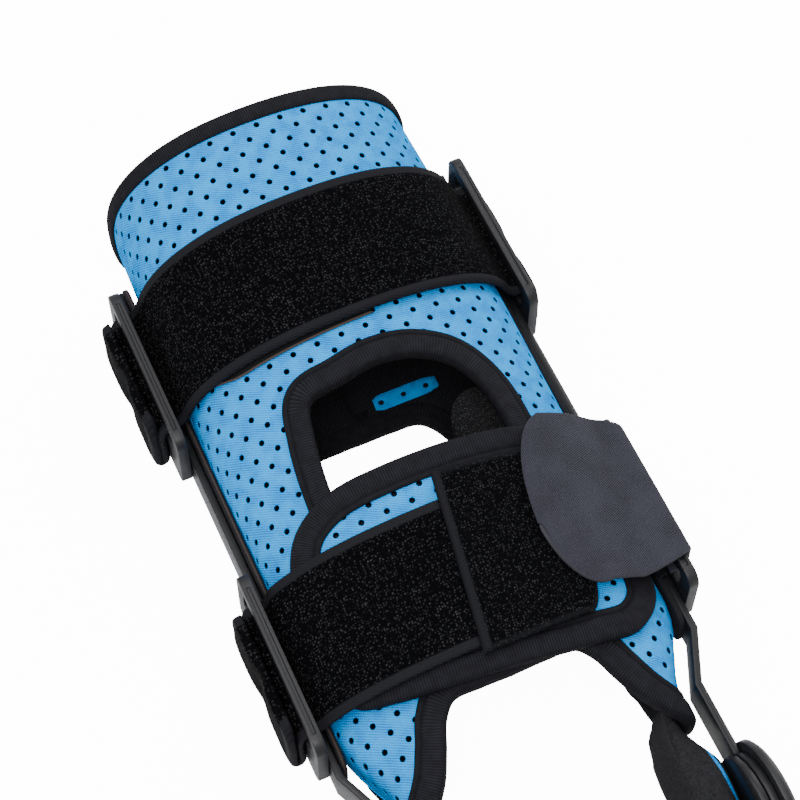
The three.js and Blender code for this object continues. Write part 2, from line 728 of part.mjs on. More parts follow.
// Pile patch: from its raised left edge over the flap and down into the right loop's slot.
const patchMiddle = (share) => lowerRight + PATCH_SHIFT * (1 - share);
const patchRows = frontRows(
  THIGH, shareOfGirth(PATCH_LEFT), 1, PATCH_LAYER + PATCH_WALL / 2, patchMiddle, PATCH_HALF,
);
patchRows.forEach((row, i) => {
  row.half = PATCH_HALF + ((STRAP_WIDTH / 2 - PATCH_HALF) * i) / FRONT_STEPS;
});
const PATCH_END = LOOP_INNER - PATCH_WALL;
[[PATCH_END - PATCH_WALL, SLOT_MIDDLE + PATCH_WALL / 2], [PATCH_END, SLOT_MIDDLE]].forEach(
  ([x, z]) => patchRows.push({
    middle: lowerRight, half: STRAP_WIDTH / 2, place: fixedPlace(x, z),
  }),
);
addPiece('loop_patch', ribbon(THIGH, patchRows, PATCH_WALL), 'pile');

// Hook tab: a round-ended tab on the patch, folded over the right loop's rail into its slot.
const TAB_CENTRE_LAYER = TAB_LAYER + TAB_WALL / 2;
const RAIL_GAP = CLEARANCE * 2 + TAB_WALL / 2;
const TAB_LEAVE = 0.85;
const tabRows = [];
for (let i = 0; i <= TAB_STEPS; i += 1) {
  const round = Math.sin((Math.PI / 2) * (i / TAB_STEPS));
  const share = shareOfGirth(TAB_TIP) + (TAB_LEAVE - shareOfGirth(TAB_TIP)) * (1 - Math.cos(
    (Math.PI / 2) * (i / TAB_STEPS)));
  tabRows.push({
    middle: lowerRight + TAB_SHIFT * (1 - i / TAB_STEPS / 2),
    half: Math.max(TAB_HALF * round, TAB_WALL),
    place: strapPlace(THIGH, share, TAB_CENTRE_LAYER),
  });
}
const TAB_WAY = [
  [LOOP_INNER - 3, LOOP_TOP + RAIL_GAP + 1],
  [(LOOP_INNER + LOOP_OUTER) / 2, LOOP_TOP + RAIL_GAP + 0.3],
  [LOOP_OUTER + RAIL_GAP * 0.8, LOOP_TOP + RAIL_GAP * 0.3],
  [LOOP_OUTER + RAIL_GAP, LOOP_TOP - LOOP_RAIL * 0.5],
  [LOOP_OUTER + RAIL_GAP * 0.6, SLOT_TOP - RAIL_GAP],
  [LOOP_INNER + LOOP_WALL / 2, SLOT_MIDDLE],
  [PATCH_END + PLY_GAP + CLEARANCE, SLOT_MIDDLE],
];
TAB_WAY.forEach(([x, z], i) => {
  const fade = (i + 1) / TAB_WAY.length;
  tabRows.push({
    middle: lowerRight + (TAB_SHIFT / 2) * (1 - fade),
    half: TAB_HALF + (STRAP_WIDTH / 2 - TAB_HALF) * Math.min(1, fade * 2),
    place: fixedPlace(x, z),
  });
});
addPiece('hook_tab', ribbon(THIGH, tabRows, TAB_WALL), 'hook');

// Uprights, pads, loops and hinges

// Turns a shape drawn in the Y-Z plane and extruded along its own depth so that it faces +X.
const FACE_X = new THREE.Matrix4().makeBasis(
  new THREE.Vector3(0, 1, 0), new THREE.Vector3(0, 0, 1), new THREE.Vector3(1, 0, 0));
const AXLE_X = new THREE.Matrix4().makeRotationZ(-Math.PI / 2);

function disc(radius, inner, outer, steps) {
  return new THREE.CylinderGeometry(radius, radius, outer - inner, steps)
    .applyMatrix4(AXLE_X)
    .translate((inner + outer) / 2, 0, HINGE_HEIGHT);
}

const KNEE_HALF_WIDTH = HALF_WIDTH * THIGH.sections[0].width;
const CALF_PLATE = KNEE_HALF_WIDTH + TAPE_TOP + HINGE_INSET;
const THIGH_PLATE = CALF_PLATE + UPRIGHT_WALL + CLEARANCE;
const COVER_INNER = THIGH_PLATE + UPRIGHT_WALL + CLEARANCE;

// Upright with its jog in to the hinge, and its round hinge plate.
function upright(half, plate) {
  const shape = new THREE.Shape([
    new THREE.Vector2(plate, 0),
    new THREE.Vector2(plate, half.side * JOG_IN),
    new THREE.Vector2(UPRIGHT_INNER, half.side * JOG_OUT),
    new THREE.Vector2(UPRIGHT_INNER, half.side * UPRIGHT_END),
    new THREE.Vector2(UPRIGHT_OUTER, half.side * UPRIGHT_END),
    new THREE.Vector2(UPRIGHT_OUTER, half.side * JOG_OUT),
    new THREE.Vector2(plate + UPRIGHT_WALL, half.side * JOG_IN),
    new THREE.Vector2(plate + UPRIGHT_WALL, 0),
  ]);
  const bar = new THREE.ExtrudeGeometry(shape, { depth: UPRIGHT_HEIGHT, bevelEnabled: false })
    .translate(0, 0, UPRIGHT_LOW);
  const hingePlate = disc(HINGE_RADIUS, plate, plate + UPRIGHT_WALL, HINGE_STEPS);
  return solidOf(bar).add(solidOf(hingePlate));
}

function strapLoop(half, at) {
  const low = UPRIGHT_LOW;
  const from = half.side * at - LOOP_LENGTH / 2;
  const to = half.side * at + LOOP_LENGTH / 2;
  const corner = LOOP_CORNER;
  const plate = new THREE.Shape();
  plate.moveTo(from + corner, low);
  plate.lineTo(to - corner, low);
  plate.absarc(to - corner, low + corner, corner, -Math.PI / 2, 0);
  plate.lineTo(to, LOOP_TOP - corner);
  plate.absarc(to - corner, LOOP_TOP - corner, corner, 0, Math.PI / 2);
  plate.lineTo(from + corner, LOOP_TOP);
  plate.absarc(from + corner, LOOP_TOP - corner, corner, Math.PI / 2, Math.PI);
  plate.lineTo(from, low + corner);
  plate.absarc(from + corner, low + corner, corner, Math.PI, Math.PI * 1.5);
  plate.holes.push(new THREE.Path([
    new THREE.Vector2(from + LOOP_POST, SLOT_LOW),
    new THREE.Vector2(from + LOOP_POST, SLOT_TOP),
    new THREE.Vector2(to - LOOP_POST, SLOT_TOP),
    new THREE.Vector2(to - LOOP_POST, SLOT_LOW),
  ]));
  const options = { depth: LOOP_WALL, bevelEnabled: false, curveSegments: CORNER_STEPS };
  return new THREE.ExtrudeGeometry(plate, options).applyMatrix4(FACE_X).translate(LOOP_INNER, 0, 0);
}

function uprightPad(half) {
  const from = JOG_OUT + PAD_MARGIN;
  const to = UPRIGHT_END + PAD_MARGIN;
  return new THREE.BoxGeometry(PAD_WALL, to - from, UPRIGHT_HEIGHT + 2 * PAD_MARGIN)
    .translate(PAD_INNER + PAD_WALL / 2, (half.side * (from + to)) / 2, HINGE_HEIGHT);
}

// Pad inside the hinge: across is a share of the pad's radius round the leg, along is a share of
// its radius on the calf side and of its reach on the thigh side.
const KNEE_PAD_EDGE = [
  { across: -0.4, along: -0.9 }, { across: 0.2, along: -1.0 }, { across: 0.7, along: -0.7 },
  { across: 0.98, along: 0.0 }, { across: 1.02, along: 0.5 }, { across: 0.85, along: 0.9 },
  { across: 0.3, along: 1.0 }, { across: -0.25, along: 0.85 }, { across: -0.55, along: 0.45 },
  { across: -0.6, along: -0.3 },
];
function kneePad() {
  const { points, run } = section(THIGH, 0);
  const girth = run[points.findIndex((point) => point.y < HINGE_HEIGHT)];
  const outline = closedOutline(KNEE_PAD_EDGE.map(({ across, along }) => [
    girth + across * KNEE_PAD_RADIUS,
    along * (along < 0 ? KNEE_PAD_RADIUS : KNEE_PAD_REACH),
  ]), EDGE_STEPS);
  const seat = CALF_PLATE - KNEE_HALF_WIDTH - CLEARANCE;
  return patchOnShell(
    THIGH, outline, { girth, station: 0 }, [0.45, 0.75, 1],
    (share) => (share < 0.5 ? seat : INNER_LAYER - PLY_GAP),
    (share) => INNER_LAYER - KNEE_PAD_WALL * (1.25 - share * share * 0.5),
  );
}

function hingeCover() {
  const profile = [
    [0, 0], [1, 0], [1, 0.35], [0.9, 0.65], [0.62, 0.8], [0.58, 1], [0, 1],
  ].map(([radius, rise]) => new THREE.Vector2(radius * COVER_RADIUS, rise * COVER_WALL));
  return new THREE.LatheGeometry(profile, HINGE_STEPS)
    .applyMatrix4(AXLE_X)
    .translate(COVER_INNER, 0, HINGE_HEIGHT);
}

const pin = solidOf(disc(PIN_RADIUS, CALF_PLATE, THIGH_PLATE + UPRIGHT_WALL / 2, PIN_STEPS));
const pinHole = solidOf(
  disc(PIN_RADIUS + PIN_CLEARANCE, CALF_PLATE - 1, CALF_PLATE + UPRIGHT_WALL + 1, PIN_STEPS));

// Mirror image for the -X side, with its faces turned to stay outward.
function mirrored(geometry) {
  const image = welded(geometry).scale(-1, 1, 1);
  const corners = Array.from(image.index.array);
  for (let i = 0; i < corners.length; i += 3) {
    [corners[i], corners[i + 1]] = [corners[i + 1], corners[i]];
  }
  return image.setIndex(corners);
}

const hardware = [
  ['thigh_upright', geometryOf(upright(THIGH, THIGH_PLATE).add(pin)), 'frame'],
  ['calf_upright', geometryOf(upright(CALF, CALF_PLATE).subtract(pinHole)), 'frame'],
  ['thigh_pad', uprightPad(THIGH), 'foam'],
  ['calf_pad', uprightPad(CALF), 'foam'],
  ['hinge_cover', hingeCover(), 'frame'],
  ['knee_pad', kneePad(), 'binding'],
  ['calf_upper_loop', strapLoop(CALF, lowerLeft), 'frame'],
  ['calf_lower_loop', strapLoop(CALF, upperLeft), 'frame'],
];
for (const [name, geometry, finish] of hardware) {
  addPiece(`${name}_right`, geometry, finish);
  addPiece(`${name}_left`, mirrored(geometry), finish);
}
addPiece('thigh_upper_loop_right', strapLoop(THIGH, upperRight), 'frame');
addPiece('thigh_upper_loop_left', mirrored(strapLoop(THIGH, upperLeft)), 'frame');
addPiece('thigh_lower_loop_right', strapLoop(THIGH, lowerRight), 'frame');
addPiece('thigh_lower_loop_left', mirrored(strapLoop(THIGH, lowerLeft)), 'frame');

export default brace;
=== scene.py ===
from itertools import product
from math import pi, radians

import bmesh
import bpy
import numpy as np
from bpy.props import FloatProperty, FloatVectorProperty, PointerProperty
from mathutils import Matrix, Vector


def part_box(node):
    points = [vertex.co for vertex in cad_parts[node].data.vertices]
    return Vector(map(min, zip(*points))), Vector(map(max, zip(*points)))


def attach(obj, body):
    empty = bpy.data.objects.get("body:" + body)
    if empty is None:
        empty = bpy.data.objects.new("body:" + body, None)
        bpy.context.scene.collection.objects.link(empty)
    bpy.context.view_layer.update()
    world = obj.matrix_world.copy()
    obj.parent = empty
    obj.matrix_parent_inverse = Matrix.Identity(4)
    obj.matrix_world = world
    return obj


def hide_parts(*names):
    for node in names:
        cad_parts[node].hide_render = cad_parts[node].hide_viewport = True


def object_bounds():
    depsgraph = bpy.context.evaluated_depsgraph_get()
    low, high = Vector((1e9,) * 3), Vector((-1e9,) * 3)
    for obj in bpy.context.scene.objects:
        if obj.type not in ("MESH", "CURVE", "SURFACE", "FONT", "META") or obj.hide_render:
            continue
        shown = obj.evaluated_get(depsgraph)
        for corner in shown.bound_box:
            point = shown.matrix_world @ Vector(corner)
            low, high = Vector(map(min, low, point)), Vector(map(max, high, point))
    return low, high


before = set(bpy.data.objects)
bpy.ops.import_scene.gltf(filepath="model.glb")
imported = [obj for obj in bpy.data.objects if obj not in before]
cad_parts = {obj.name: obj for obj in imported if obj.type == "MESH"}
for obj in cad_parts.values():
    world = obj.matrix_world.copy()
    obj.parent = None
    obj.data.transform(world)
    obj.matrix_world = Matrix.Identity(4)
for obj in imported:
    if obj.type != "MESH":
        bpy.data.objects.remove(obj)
CAD_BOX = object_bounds()

# Full-length hinged knee brace, lying on its back with the knee straight.
# Metres, +Z up, +Y along the leg towards the thigh rim, X along the knee hinge.
#
# Soft pieces are laid out on the leg shell. A place on it is a girth (the distance round the
# section from the middle of its front, positive towards +X), a station (the distance from the
# knee along the leg) and a layer (the height above the wrap's outer face).

bl_info = {
    "name": "Hinged Knee Brace",
    "version": (1, 0, 0),
    "blender": (4, 5, 0),
    "location": "View3D > Sidebar > Brace",
    "description": "Dresses the packed solids of a hinged knee brace",
    "category": "Add Mesh",
}

MM = 0.001
HALVES = ("thigh", "calf")
SIDES = ("right", "left")

# Leg shell
HALF_LENGTH = CAD_BOX[1].y
HALF_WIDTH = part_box("thigh_liner")[1].x
THIGH_TOP = 80 * MM
CALF_TOP = 66 * MM
FRONT_ROUND = 2.3
BACK_ROUND = 2.9
BACK_SAG = 1.5 * MM
STATION_SAMPLES = 289
SECTION_SAMPLES = 720
NORMAL_REACH = 7

# Wrap, its edges and its binding tape
WRAP_WALL = 3 * MM
TAPE = 1 * MM
TAPE_GAP = 0.55 * MM
EDGE_GAP = 0.4 * MM
TAPE_WIDTH = 8.5 * MM
WINDOW_TAPE_WIDTH = TAPE_WIDTH - 0.9 * MM
RIM_TAPE_WIDTH = 5 * MM
REST_HEIGHT = TAPE + TAPE_GAP
RIM_END = HALF_LENGTH - EDGE_GAP - TAPE
TAIL_END = 34 * MM
BACK_ARCH_HALF = 50 * MM
PLY_GAP = 0.6 * MM
# A hole keeps this many of its radii from every edge.
HOLE_CLEARANCE = 2.6
HOLE_SIDES = 12
ROWS_TO_RIM = 64
CLOTH_UNREST = 0.22 * MM
TAPE_UNREST = 0.12 * MM
SEAM_REACH = 0.3 * MM
WELD = 0.02 * MM

# Straps and loops
STRAP_WIDTH = 50 * MM
STRAP_WALL = 2 * MM
STRAP_FOLD = 18 * MM
FOLD_RUN = 48 * MM
FOLD_LIFT = 5 * MM
UPPER_STRAP_RISE = 2 * MM
UPPER_STRAP_DROP = 0.8 * MM
BACKING_WALL = 0.9 * MM
BACKING_DROP = 0.2 * MM
BACKING_TUCK = 4 * MM
FOLD_SLACK = 4 * MM
FOLD_TAPER = (0.8 * MM, 4 * MM)
# Faces of a strap. Levels are shares of half its wall.
SELVAGE_LEVEL = 0.72
ROLL_LEVEL = 0.75
PILE_RUN = 0.7 * MM
PILE_UNREST = 0.1
FOLD_LEVEL = 0.5
UNDER_WAIST = 5 * MM
UNDER_ROUND = 9 * MM
BAND_BLUR = 0.4 * MM
LEAVE_SHARE = 0.93
UPPER_LOOP_AT = HALF_LENGTH - 67 * MM
LOWER_LOOP_AT = 101 * MM
RIGHT_LOOP_SHIFT = 4 * MM
FIRST_LOOP = "thigh_upper_loop_right"
LOOP_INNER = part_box(FIRST_LOOP)[0].x
LOOP_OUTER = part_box(FIRST_LOOP)[1].x
LOOP_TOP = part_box(FIRST_LOOP)[1].z
LOOP_RAIL = 5 * MM
LOOP_POST = 6 * MM
LOOP_CORNER = 5 * MM
GROOVE_INSET = 1.2 * MM
GROOVE_SLOPE = 0.2 * MM
GROOVE_DEPTH = 0.6 * MM
SLOT_HEIGHT = 7.5 * MM
SLOT_CORNER = 1.5 * MM
CUT_PAST = 5 * MM
SIDE_PAD_CORNER = 6 * MM
SIDE_PAD_ROUND = 0.5 * MM
SLOT_TOP = LOOP_TOP - LOOP_RAIL
SLOT_MIDDLE = SLOT_TOP - SLOT_HEIGHT / 2

# Hinge covers and knee cushions. Each step of a cover goes inward by a share of its radius and
# rises by a share of its height.
HINGE_HEIGHT = 28 * MM
COVER_STEPS = [
    (0.07, 0.2), (0.05, 0.08), (0.05, -0.09), (0.04, 0.0), (0.03, 0.12), (0.12, 0.11),
    (0.14, 0.05), (0.02, 0.13), (0.1, 0.0), (0.03, -0.12), (0.16, -0.03),
]
COVER_ROUND = 0.3 * MM
SWELL_FRAMES = 20
CUSHION_VOXEL = 2.0 * MM
CUSHION_PRESSURE = 4.0
CUSHION_CAP = 1.5 * MM

# Flap, window and the edge above the knee
FLAP_HALF = 54 * MM
FLAP_WALL = 2 * MM
FLAP_HOLES_AT = 1.5 * MM
FLAP_TOP = LOWER_LOOP_AT + 43 * MM
FLAP_LOW = LOWER_LOOP_AT - 35 * MM
BRIDGE_EDGE = FLAP_LOW - 2 * MM
BRIDGE_TUCK = 4.5 * MM
WINDOW_CENTRE = 2 * MM
WINDOW_HALF = 34 * MM
WINDOW_LOW = FLAP_TOP - 24 * MM
WINDOW_TOP = UPPER_LOOP_AT - STRAP_WIDTH / 2 - 13 * MM
THIGH_ARCH_TOP = WINDOW_TOP + 5 * MM
CALF_ARCH_TOP = (BRIDGE_EDGE + LOWER_LOOP_AT) / 2

# Pile patch and hook tab. From a share of the way on, the patch's lower edge lifts away from the
# flap's; its upper edge rises towards its left end.
PATCH_LEFT = 3 * MM
PATCH_HALF = 28 * MM
PATCH_SHIFT = 5 * MM
PATCH_WALL = 2.6 * MM
PATCH_BAND = 3.0 * MM
PATCH_SLANT = 4.2 * MM
PATCH_LOW = FLAP_LOW + 7.2 * MM
PATCH_RISE = 5 * MM
PATCH_LIFT = 8 * MM
PATCH_LIFT_AT = 0.61
PATCH_LIFT_RUN = 0.07
PATCH_CUT = 6.4 * MM
PATCH_RIM = 1.6 * MM
PATCH_RIM_BLUR = 1.2 * MM
TAB_TIP = 25 * MM
TAB_HALF = 31 * MM
TAB_SHIFT = 8 * MM
TAB_WALL = 1.8 * MM
TAB_LEAVE = 0.85
TAB_ROUND = 0.6
TAB_BLUNT = 0.6 * MM
TAB_FOLD_GAP = 0.6 * MM
# Width and blur of the paler band along the hook tab's edge.
TAB_PALE_EDGE = 0.45 * MM
TAB_PALE_EDGE_BLUR = 0.3 * MM

# Layers over the wrap's outer face
TAPE_TOP = TAPE_GAP + TAPE
FLAP_LAYER = TAPE_TOP + PLY_GAP
FLAP_FACE = FLAP_LAYER + FLAP_WALL
CALF_STRAP_LAYER = PLY_GAP
UPPER_STRAP_LAYER = TAPE_TOP + PLY_GAP
LOWER_STRAP_LAYER = FLAP_FACE + TAPE_TOP + PLY_GAP
TAB_LAYER = LOWER_STRAP_LAYER + PATCH_WALL + PLY_GAP
INNER_LAYER = -WRAP_WALL - PLY_GAP - 0.3 * MM

# Shell sections: shares of the half's length, of HALF_WIDTH and of the top.
THIGH_SECTIONS = [
    {"at": 0.0, "width": 0.82, "top": 0.49, "belt": 0.375},
    {"at": 0.14, "width": 0.82, "top": 0.555, "belt": 0.38},
    {"at": 0.26, "width": 1.0, "top": 0.615, "belt": 0.39},
    {"at": 0.66, "width": 1.0, "top": 0.825, "belt": 0.44},
    {"at": 1.0, "width": 0.95, "top": 1.0, "belt": 0.475},
]
CALF_SECTIONS = [
    {"at": 0.0, "width": 0.82, "top": 0.6, "belt": 0.455},
    {"at": 0.14, "width": 0.82, "top": 0.68, "belt": 0.46},
    {"at": 0.26, "width": 1.0, "top": 0.78, "belt": 0.47},
    {"at": 0.52, "width": 1.0, "top": 0.98, "belt": 0.48},
    {"at": 0.78, "width": 0.97, "top": 0.95, "belt": 0.46},
    {"at": 1.0, "width": 0.92, "top": 0.85, "belt": 0.44},
]

# Edge above the knee: rounds are shares of HALF_WIDTH in front and of BACK_ARCH_HALF behind,
# rises are shares of the way from the tail's end up to the bridge or to the arch's top.
FRONT_ARCH = [
    (0.0, 1.0), (0.2, 1.01), (0.37, 1.0), (0.46, 0.85), (0.53, 0.6), (0.62, 0.33),
    (0.74, 0.13), (0.88, 0.02),
]
BACK_ARCH = [
    (1.1, 0.015), (0.98, 0.07), (0.93, 0.13), (0.88, 0.2), (0.76, 0.42), (0.67, 0.7),
    (0.6, 0.9), (0.44, 0.99), (0.2, 1.0), (0.0, 1.0),
]
# Across and rise, as shares of each outline's half width and height.
WINDOW_EDGE = [
    (-0.95, 0.0), (-0.4, -0.05), (0.4, -0.05), (0.98, 0.0), (1.03, 0.35), (0.97, 0.66),
    (0.76, 0.86), (0.4, 0.97), (0.0, 1.0), (-0.4, 0.97), (-0.78, 0.93), (-0.9, 0.74),
    (-0.98, 0.4),
]
FLAP_EDGE = [
    (-0.93, 0.16), (-0.7, 0.1), (-0.3, 0.06), (0.1, 0.03), (0.5, 0.0), (0.8, 0.0),
    (0.96, 0.1), (1.0, 0.3), (1.0, 0.6), (0.95, 0.82), (0.75, 0.94), (0.3, 0.99),
    (-0.2, 1.0), (-0.6, 0.98), (-0.84, 0.89), (-0.97, 0.7), (-1.0, 0.4),
]
HOOK_PAD_EDGE = [
    (0.0, 0.5), (0.1, 0.15), (0.35, 0.0), (0.8, 0.0), (1.0, 0.15), (1.0, 0.8),
    (0.8, 0.97), (0.35, 1.0), (0.1, 0.85),
]
HOOK_PAD_LEFT = 17 * MM
HOOK_PAD_RIGHT = 48 * MM
HOOK_PAD_HEIGHT = 38 * MM
HOOK_PAD_TOP = WINDOW_TOP - 19 * MM
HOOK_PAD_WALL = 2 * MM
OUTLINE_STEPS = 10

# Strip of the wrap's inner face that shows through the window
BACK_STRIP_LOW = THIGH_ARCH_TOP + 7 * MM
BACK_STRIP_TOP = BACK_STRIP_LOW + 6.5 * MM
BACK_STRIP_FAR = 33 * MM
BACK_STRIP_NEAR = 8 * MM
BACK_STRIP_WALL = 0.7 * MM
BACK_STRIP_GAP = 0.05 * MM

# Camera fitted to the photograph
CAMERA_AT = (-0.1499, -0.1767, 0.7101)
CAMERA_RIGHT = (0.9122, -0.4099, 0.0)
CAMERA_UP = (0.3545, 0.7890, 0.5017)
CAMERA_BACK = (-0.2056, -0.4577, 0.8650)

# Lamps: name, size in metres and place
LAMPS = [
    ("key", 1.3, (-0.5, 0.4, 1.6)),
    ("side", 0.9, (1.1, 0.9, 0.9)),
    ("front", 0.4, (-0.22, -0.3, 1.05)),
]
FLOOR_GAP = 0.02 * MM


class KnitSettings(bpy.types.PropertyGroup):
    hole_pitch: FloatProperty(
        name="Hole pitch", description="Distance between two holes of a row",
        default=8.9 * MM, min=4 * MM, unit="LENGTH")
    hole_radius: FloatProperty(
        name="Hole radius", description="Radius of a hole at the face of the cloth",
        default=0.98 * MM, min=0.2 * MM, unit="LENGTH")
    hole_depth: FloatProperty(
        name="Hole depth", description="How far a hole's floor lies under the face",
        default=2.1 * MM, min=0.2 * MM, unit="LENGTH")
    dimple: FloatProperty(
        name="Dimple", description="How far the cloth dips round a hole",
        default=0.3 * MM, min=0.0, unit="LENGTH")
    rib_pitch: FloatProperty(
        name="Rib pitch", description="Distance between the fine slanting ribs",
        default=0.78 * MM, min=0.2 * MM, unit="LENGTH")
    # Blue and deep blue stand for the lit tops of the knit's ribs and painted shade between them;
    # the cushion's blue edge mixes them at random.
    blue: FloatVectorProperty(
        name="Blue", description="Colour of the knit on top of its ribs",
        default=(0.0, 0.34, 0.84), min=0.0, max=1.0, subtype="COLOR")
    deep_blue: FloatVectorProperty(
        name="Deep blue", description="Colour of the knit between its ribs",
        default=(0.0, 0.12, 0.46), min=0.0, max=1.0, subtype="COLOR")


class TapeSettings(bpy.types.PropertyGroup):
    rib_pitch: FloatProperty(
        name="Rib pitch", description="Distance between the ribs across the binding tape",
        default=0.92 * MM, min=0.4 * MM, unit="LENGTH")
    rib_height: FloatProperty(
        name="Rib height", description="Height of those ribs",
        default=0.2 * MM, min=0.0, unit="LENGTH")
    # Crest and valley are painted light and shade: the same black tape, lighter on the ribs' crests
    # and darker between them.
    crest: FloatVectorProperty(
        name="Crest", description="Colour of the ribs' crests",
        default=(0.0145, 0.0145, 0.020), min=0.0, max=1.0, subtype="COLOR")
    valley_shade: FloatVectorProperty(
        name="Valley", description="Colour between the ribs",
        default=(0.003, 0.003, 0.004), min=0.0, max=1.0, subtype="COLOR")


class StrapSettings(bpy.types.PropertyGroup):
    selvage: FloatProperty(
        name="Selvage", description="Width of the smooth band along a strap's edges",
        default=3.3 * MM, min=0.5 * MM, unit="LENGTH")
    pile_height: FloatProperty(
        name="Pile height", description="How far the pile stands above the selvage",
        default=0.35 * MM, min=0.0, unit="LENGTH")
    pile: FloatVectorProperty(
        name="Pile", description="Colour of the loop pile",
        default=(0.0007, 0.0007, 0.0012), min=0.0, max=1.0, subtype="COLOR")
    # Fleck is a painted highlight: the pile's loop tips that catch the light.
    fleck: FloatVectorProperty(
        name="Fleck", description="Colour of the pile's light loop tips",
        default=(0.085, 0.085, 0.09), min=0.0, max=1.0, subtype="COLOR")
    band: FloatVectorProperty(
        name="Band", description="Colour of the selvage and of the patch's raised edge",
        default=(0.013, 0.013, 0.016), min=0.0, max=1.0, subtype="COLOR")
    tab: FloatVectorProperty(
        name="Tab", description="Colour of the hook tab",
        default=(0.0175, 0.0175, 0.0260), min=0.0, max=1.0, subtype="COLOR")
    cut_edge: FloatVectorProperty(
        name="Cut edge", description="Colour of cut foam edges",
        default=(0.055, 0.038, 0.031), min=0.0, max=1.0, subtype="COLOR")


class HardwareSettings(bpy.types.PropertyGroup):
    edge_round: FloatProperty(
        name="Edge round", description="Radius on the edges of bars and loops",
        default=0.6 * MM, min=0.05 * MM, unit="LENGTH")
    bar: FloatVectorProperty(
        name="Bar", description="Colour of the uprights",
        default=(0.009, 0.009, 0.011), min=0.0, max=1.0, subtype="COLOR")
    plastic: FloatVectorProperty(
        name="Plastic", description="Colour of the loops and hinge covers",
        default=(0.010, 0.010, 0.012), min=0.0, max=1.0, subtype="COLOR")


class StageSettings(bpy.types.PropertyGroup):
    lens: FloatProperty(
        name="Lens", description="Focal length of the camera in millimetres",
        default=100.8, min=20.0)
    floor_size: FloatProperty(
        name="Floor size", description="Side of the square floor",
        default=14.0, min=1.0, unit="LENGTH")
    floor_colour: FloatVectorProperty(
        name="Floor colour", description="Colour of the floor",
        default=(0.9, 0.9, 0.9), min=0.0, max=1.0, subtype="COLOR")
    floor_glow: FloatProperty(
        name="Floor glow", description="Light that the floor adds to its own picture",
        default=13.0, min=0.0)
    key_power: FloatProperty(
        name="Key power", description="Power of the large light above the brace, in watts",
        default=20.0, min=0.0)
    side_power: FloatProperty(
        name="Side power", description="Power of the light beyond the thigh rim, in watts",
        default=14.0, min=0.0)
    front_power: FloatProperty(
        name="Front power", description="Power of the light beside the camera, in watts",
        default=7.0, min=0.0)
    sky: FloatProperty(
        name="Sky", description="Strength of the even light from all sides",
        default=0.85, min=0.0)


# Curves and outlines

def column(sections, name, shares):
    """One column of a section table at shares of the length, joined smoothly."""
    at = np.array([row["at"] for row in sections])
    value = np.array([row[name] for row in sections])
    slope = np.diff(value) / np.diff(at)
    tangent = np.concatenate([slope[:1], np.zeros(len(at) - 2), slope[-1:]])
    product = slope[:-1] * slope[1:]
    total = np.where(product > 0, slope[:-1] + slope[1:], 1)
    tangent[1:-1] = np.where(product > 0, 2 * product / total, 0)
    k = np.clip(np.searchsorted(at, shares, side="right") - 1, 0, len(at) - 2)
    span = at[k + 1] - at[k]
    t = np.clip((shares - at[k]) / span, 0, 1)
    rise = value[k + 1] - value[k]
    bend = tangent[k] * span
    land = tangent[k + 1] * span
    return (value[k] + bend * t + (3 * rise - 2 * bend - land) * t**2
            + (bend + land - 2 * rise) * t**3)


def smooth_line(points, steps, closed=False, gauge=None):
    """Centripetal Catmull-Rom curve through rows of points. The gauge, one point for each row,
    sets the spacing where a row holds several points."""
    points = np.asarray(points, float)
    gauge = points if gauge is None else gauge

    def guided(rows):
        if closed:
            return np.concatenate([rows[-1:], rows, rows[:2]])
        return np.concatenate([2 * rows[:1] - rows[1:2], rows, 2 * rows[-1:] - rows[-2:-1]])

    rows = guided(points)
    steps_apart = np.sqrt(np.linalg.norm(np.diff(guided(gauge), axis=0), axis=1))
    steps_apart = np.maximum(steps_apart, 1e-5)
    t = np.linspace(0, 1, steps, endpoint=False).reshape((-1,) + (1,) * (points.ndim - 1))
    curve = []
    for i in range(1, len(rows) - 2):
        d0, d1, d2 = steps_apart[i - 1:i + 2]
        p0, p1, p2, p3 = rows[i - 1:i + 3]
        leave = d1 * ((p1 - p0) / d0 - (p2 - p0) / (d0 + d1) + (p2 - p1) / d1)
        reach = d1 * ((p2 - p1) / d1 - (p3 - p1) / (d1 + d2) + (p3 - p2) / d2)
        rise = p2 - p1
        curve.append(
            p1 + leave * t + (3 * rise - 2 * leave - reach) * t**2
            + (leave + reach - 2 * rise) * t**3)
    if not closed:
        curve.append(points[-1:])
    return np.concatenate(curve)


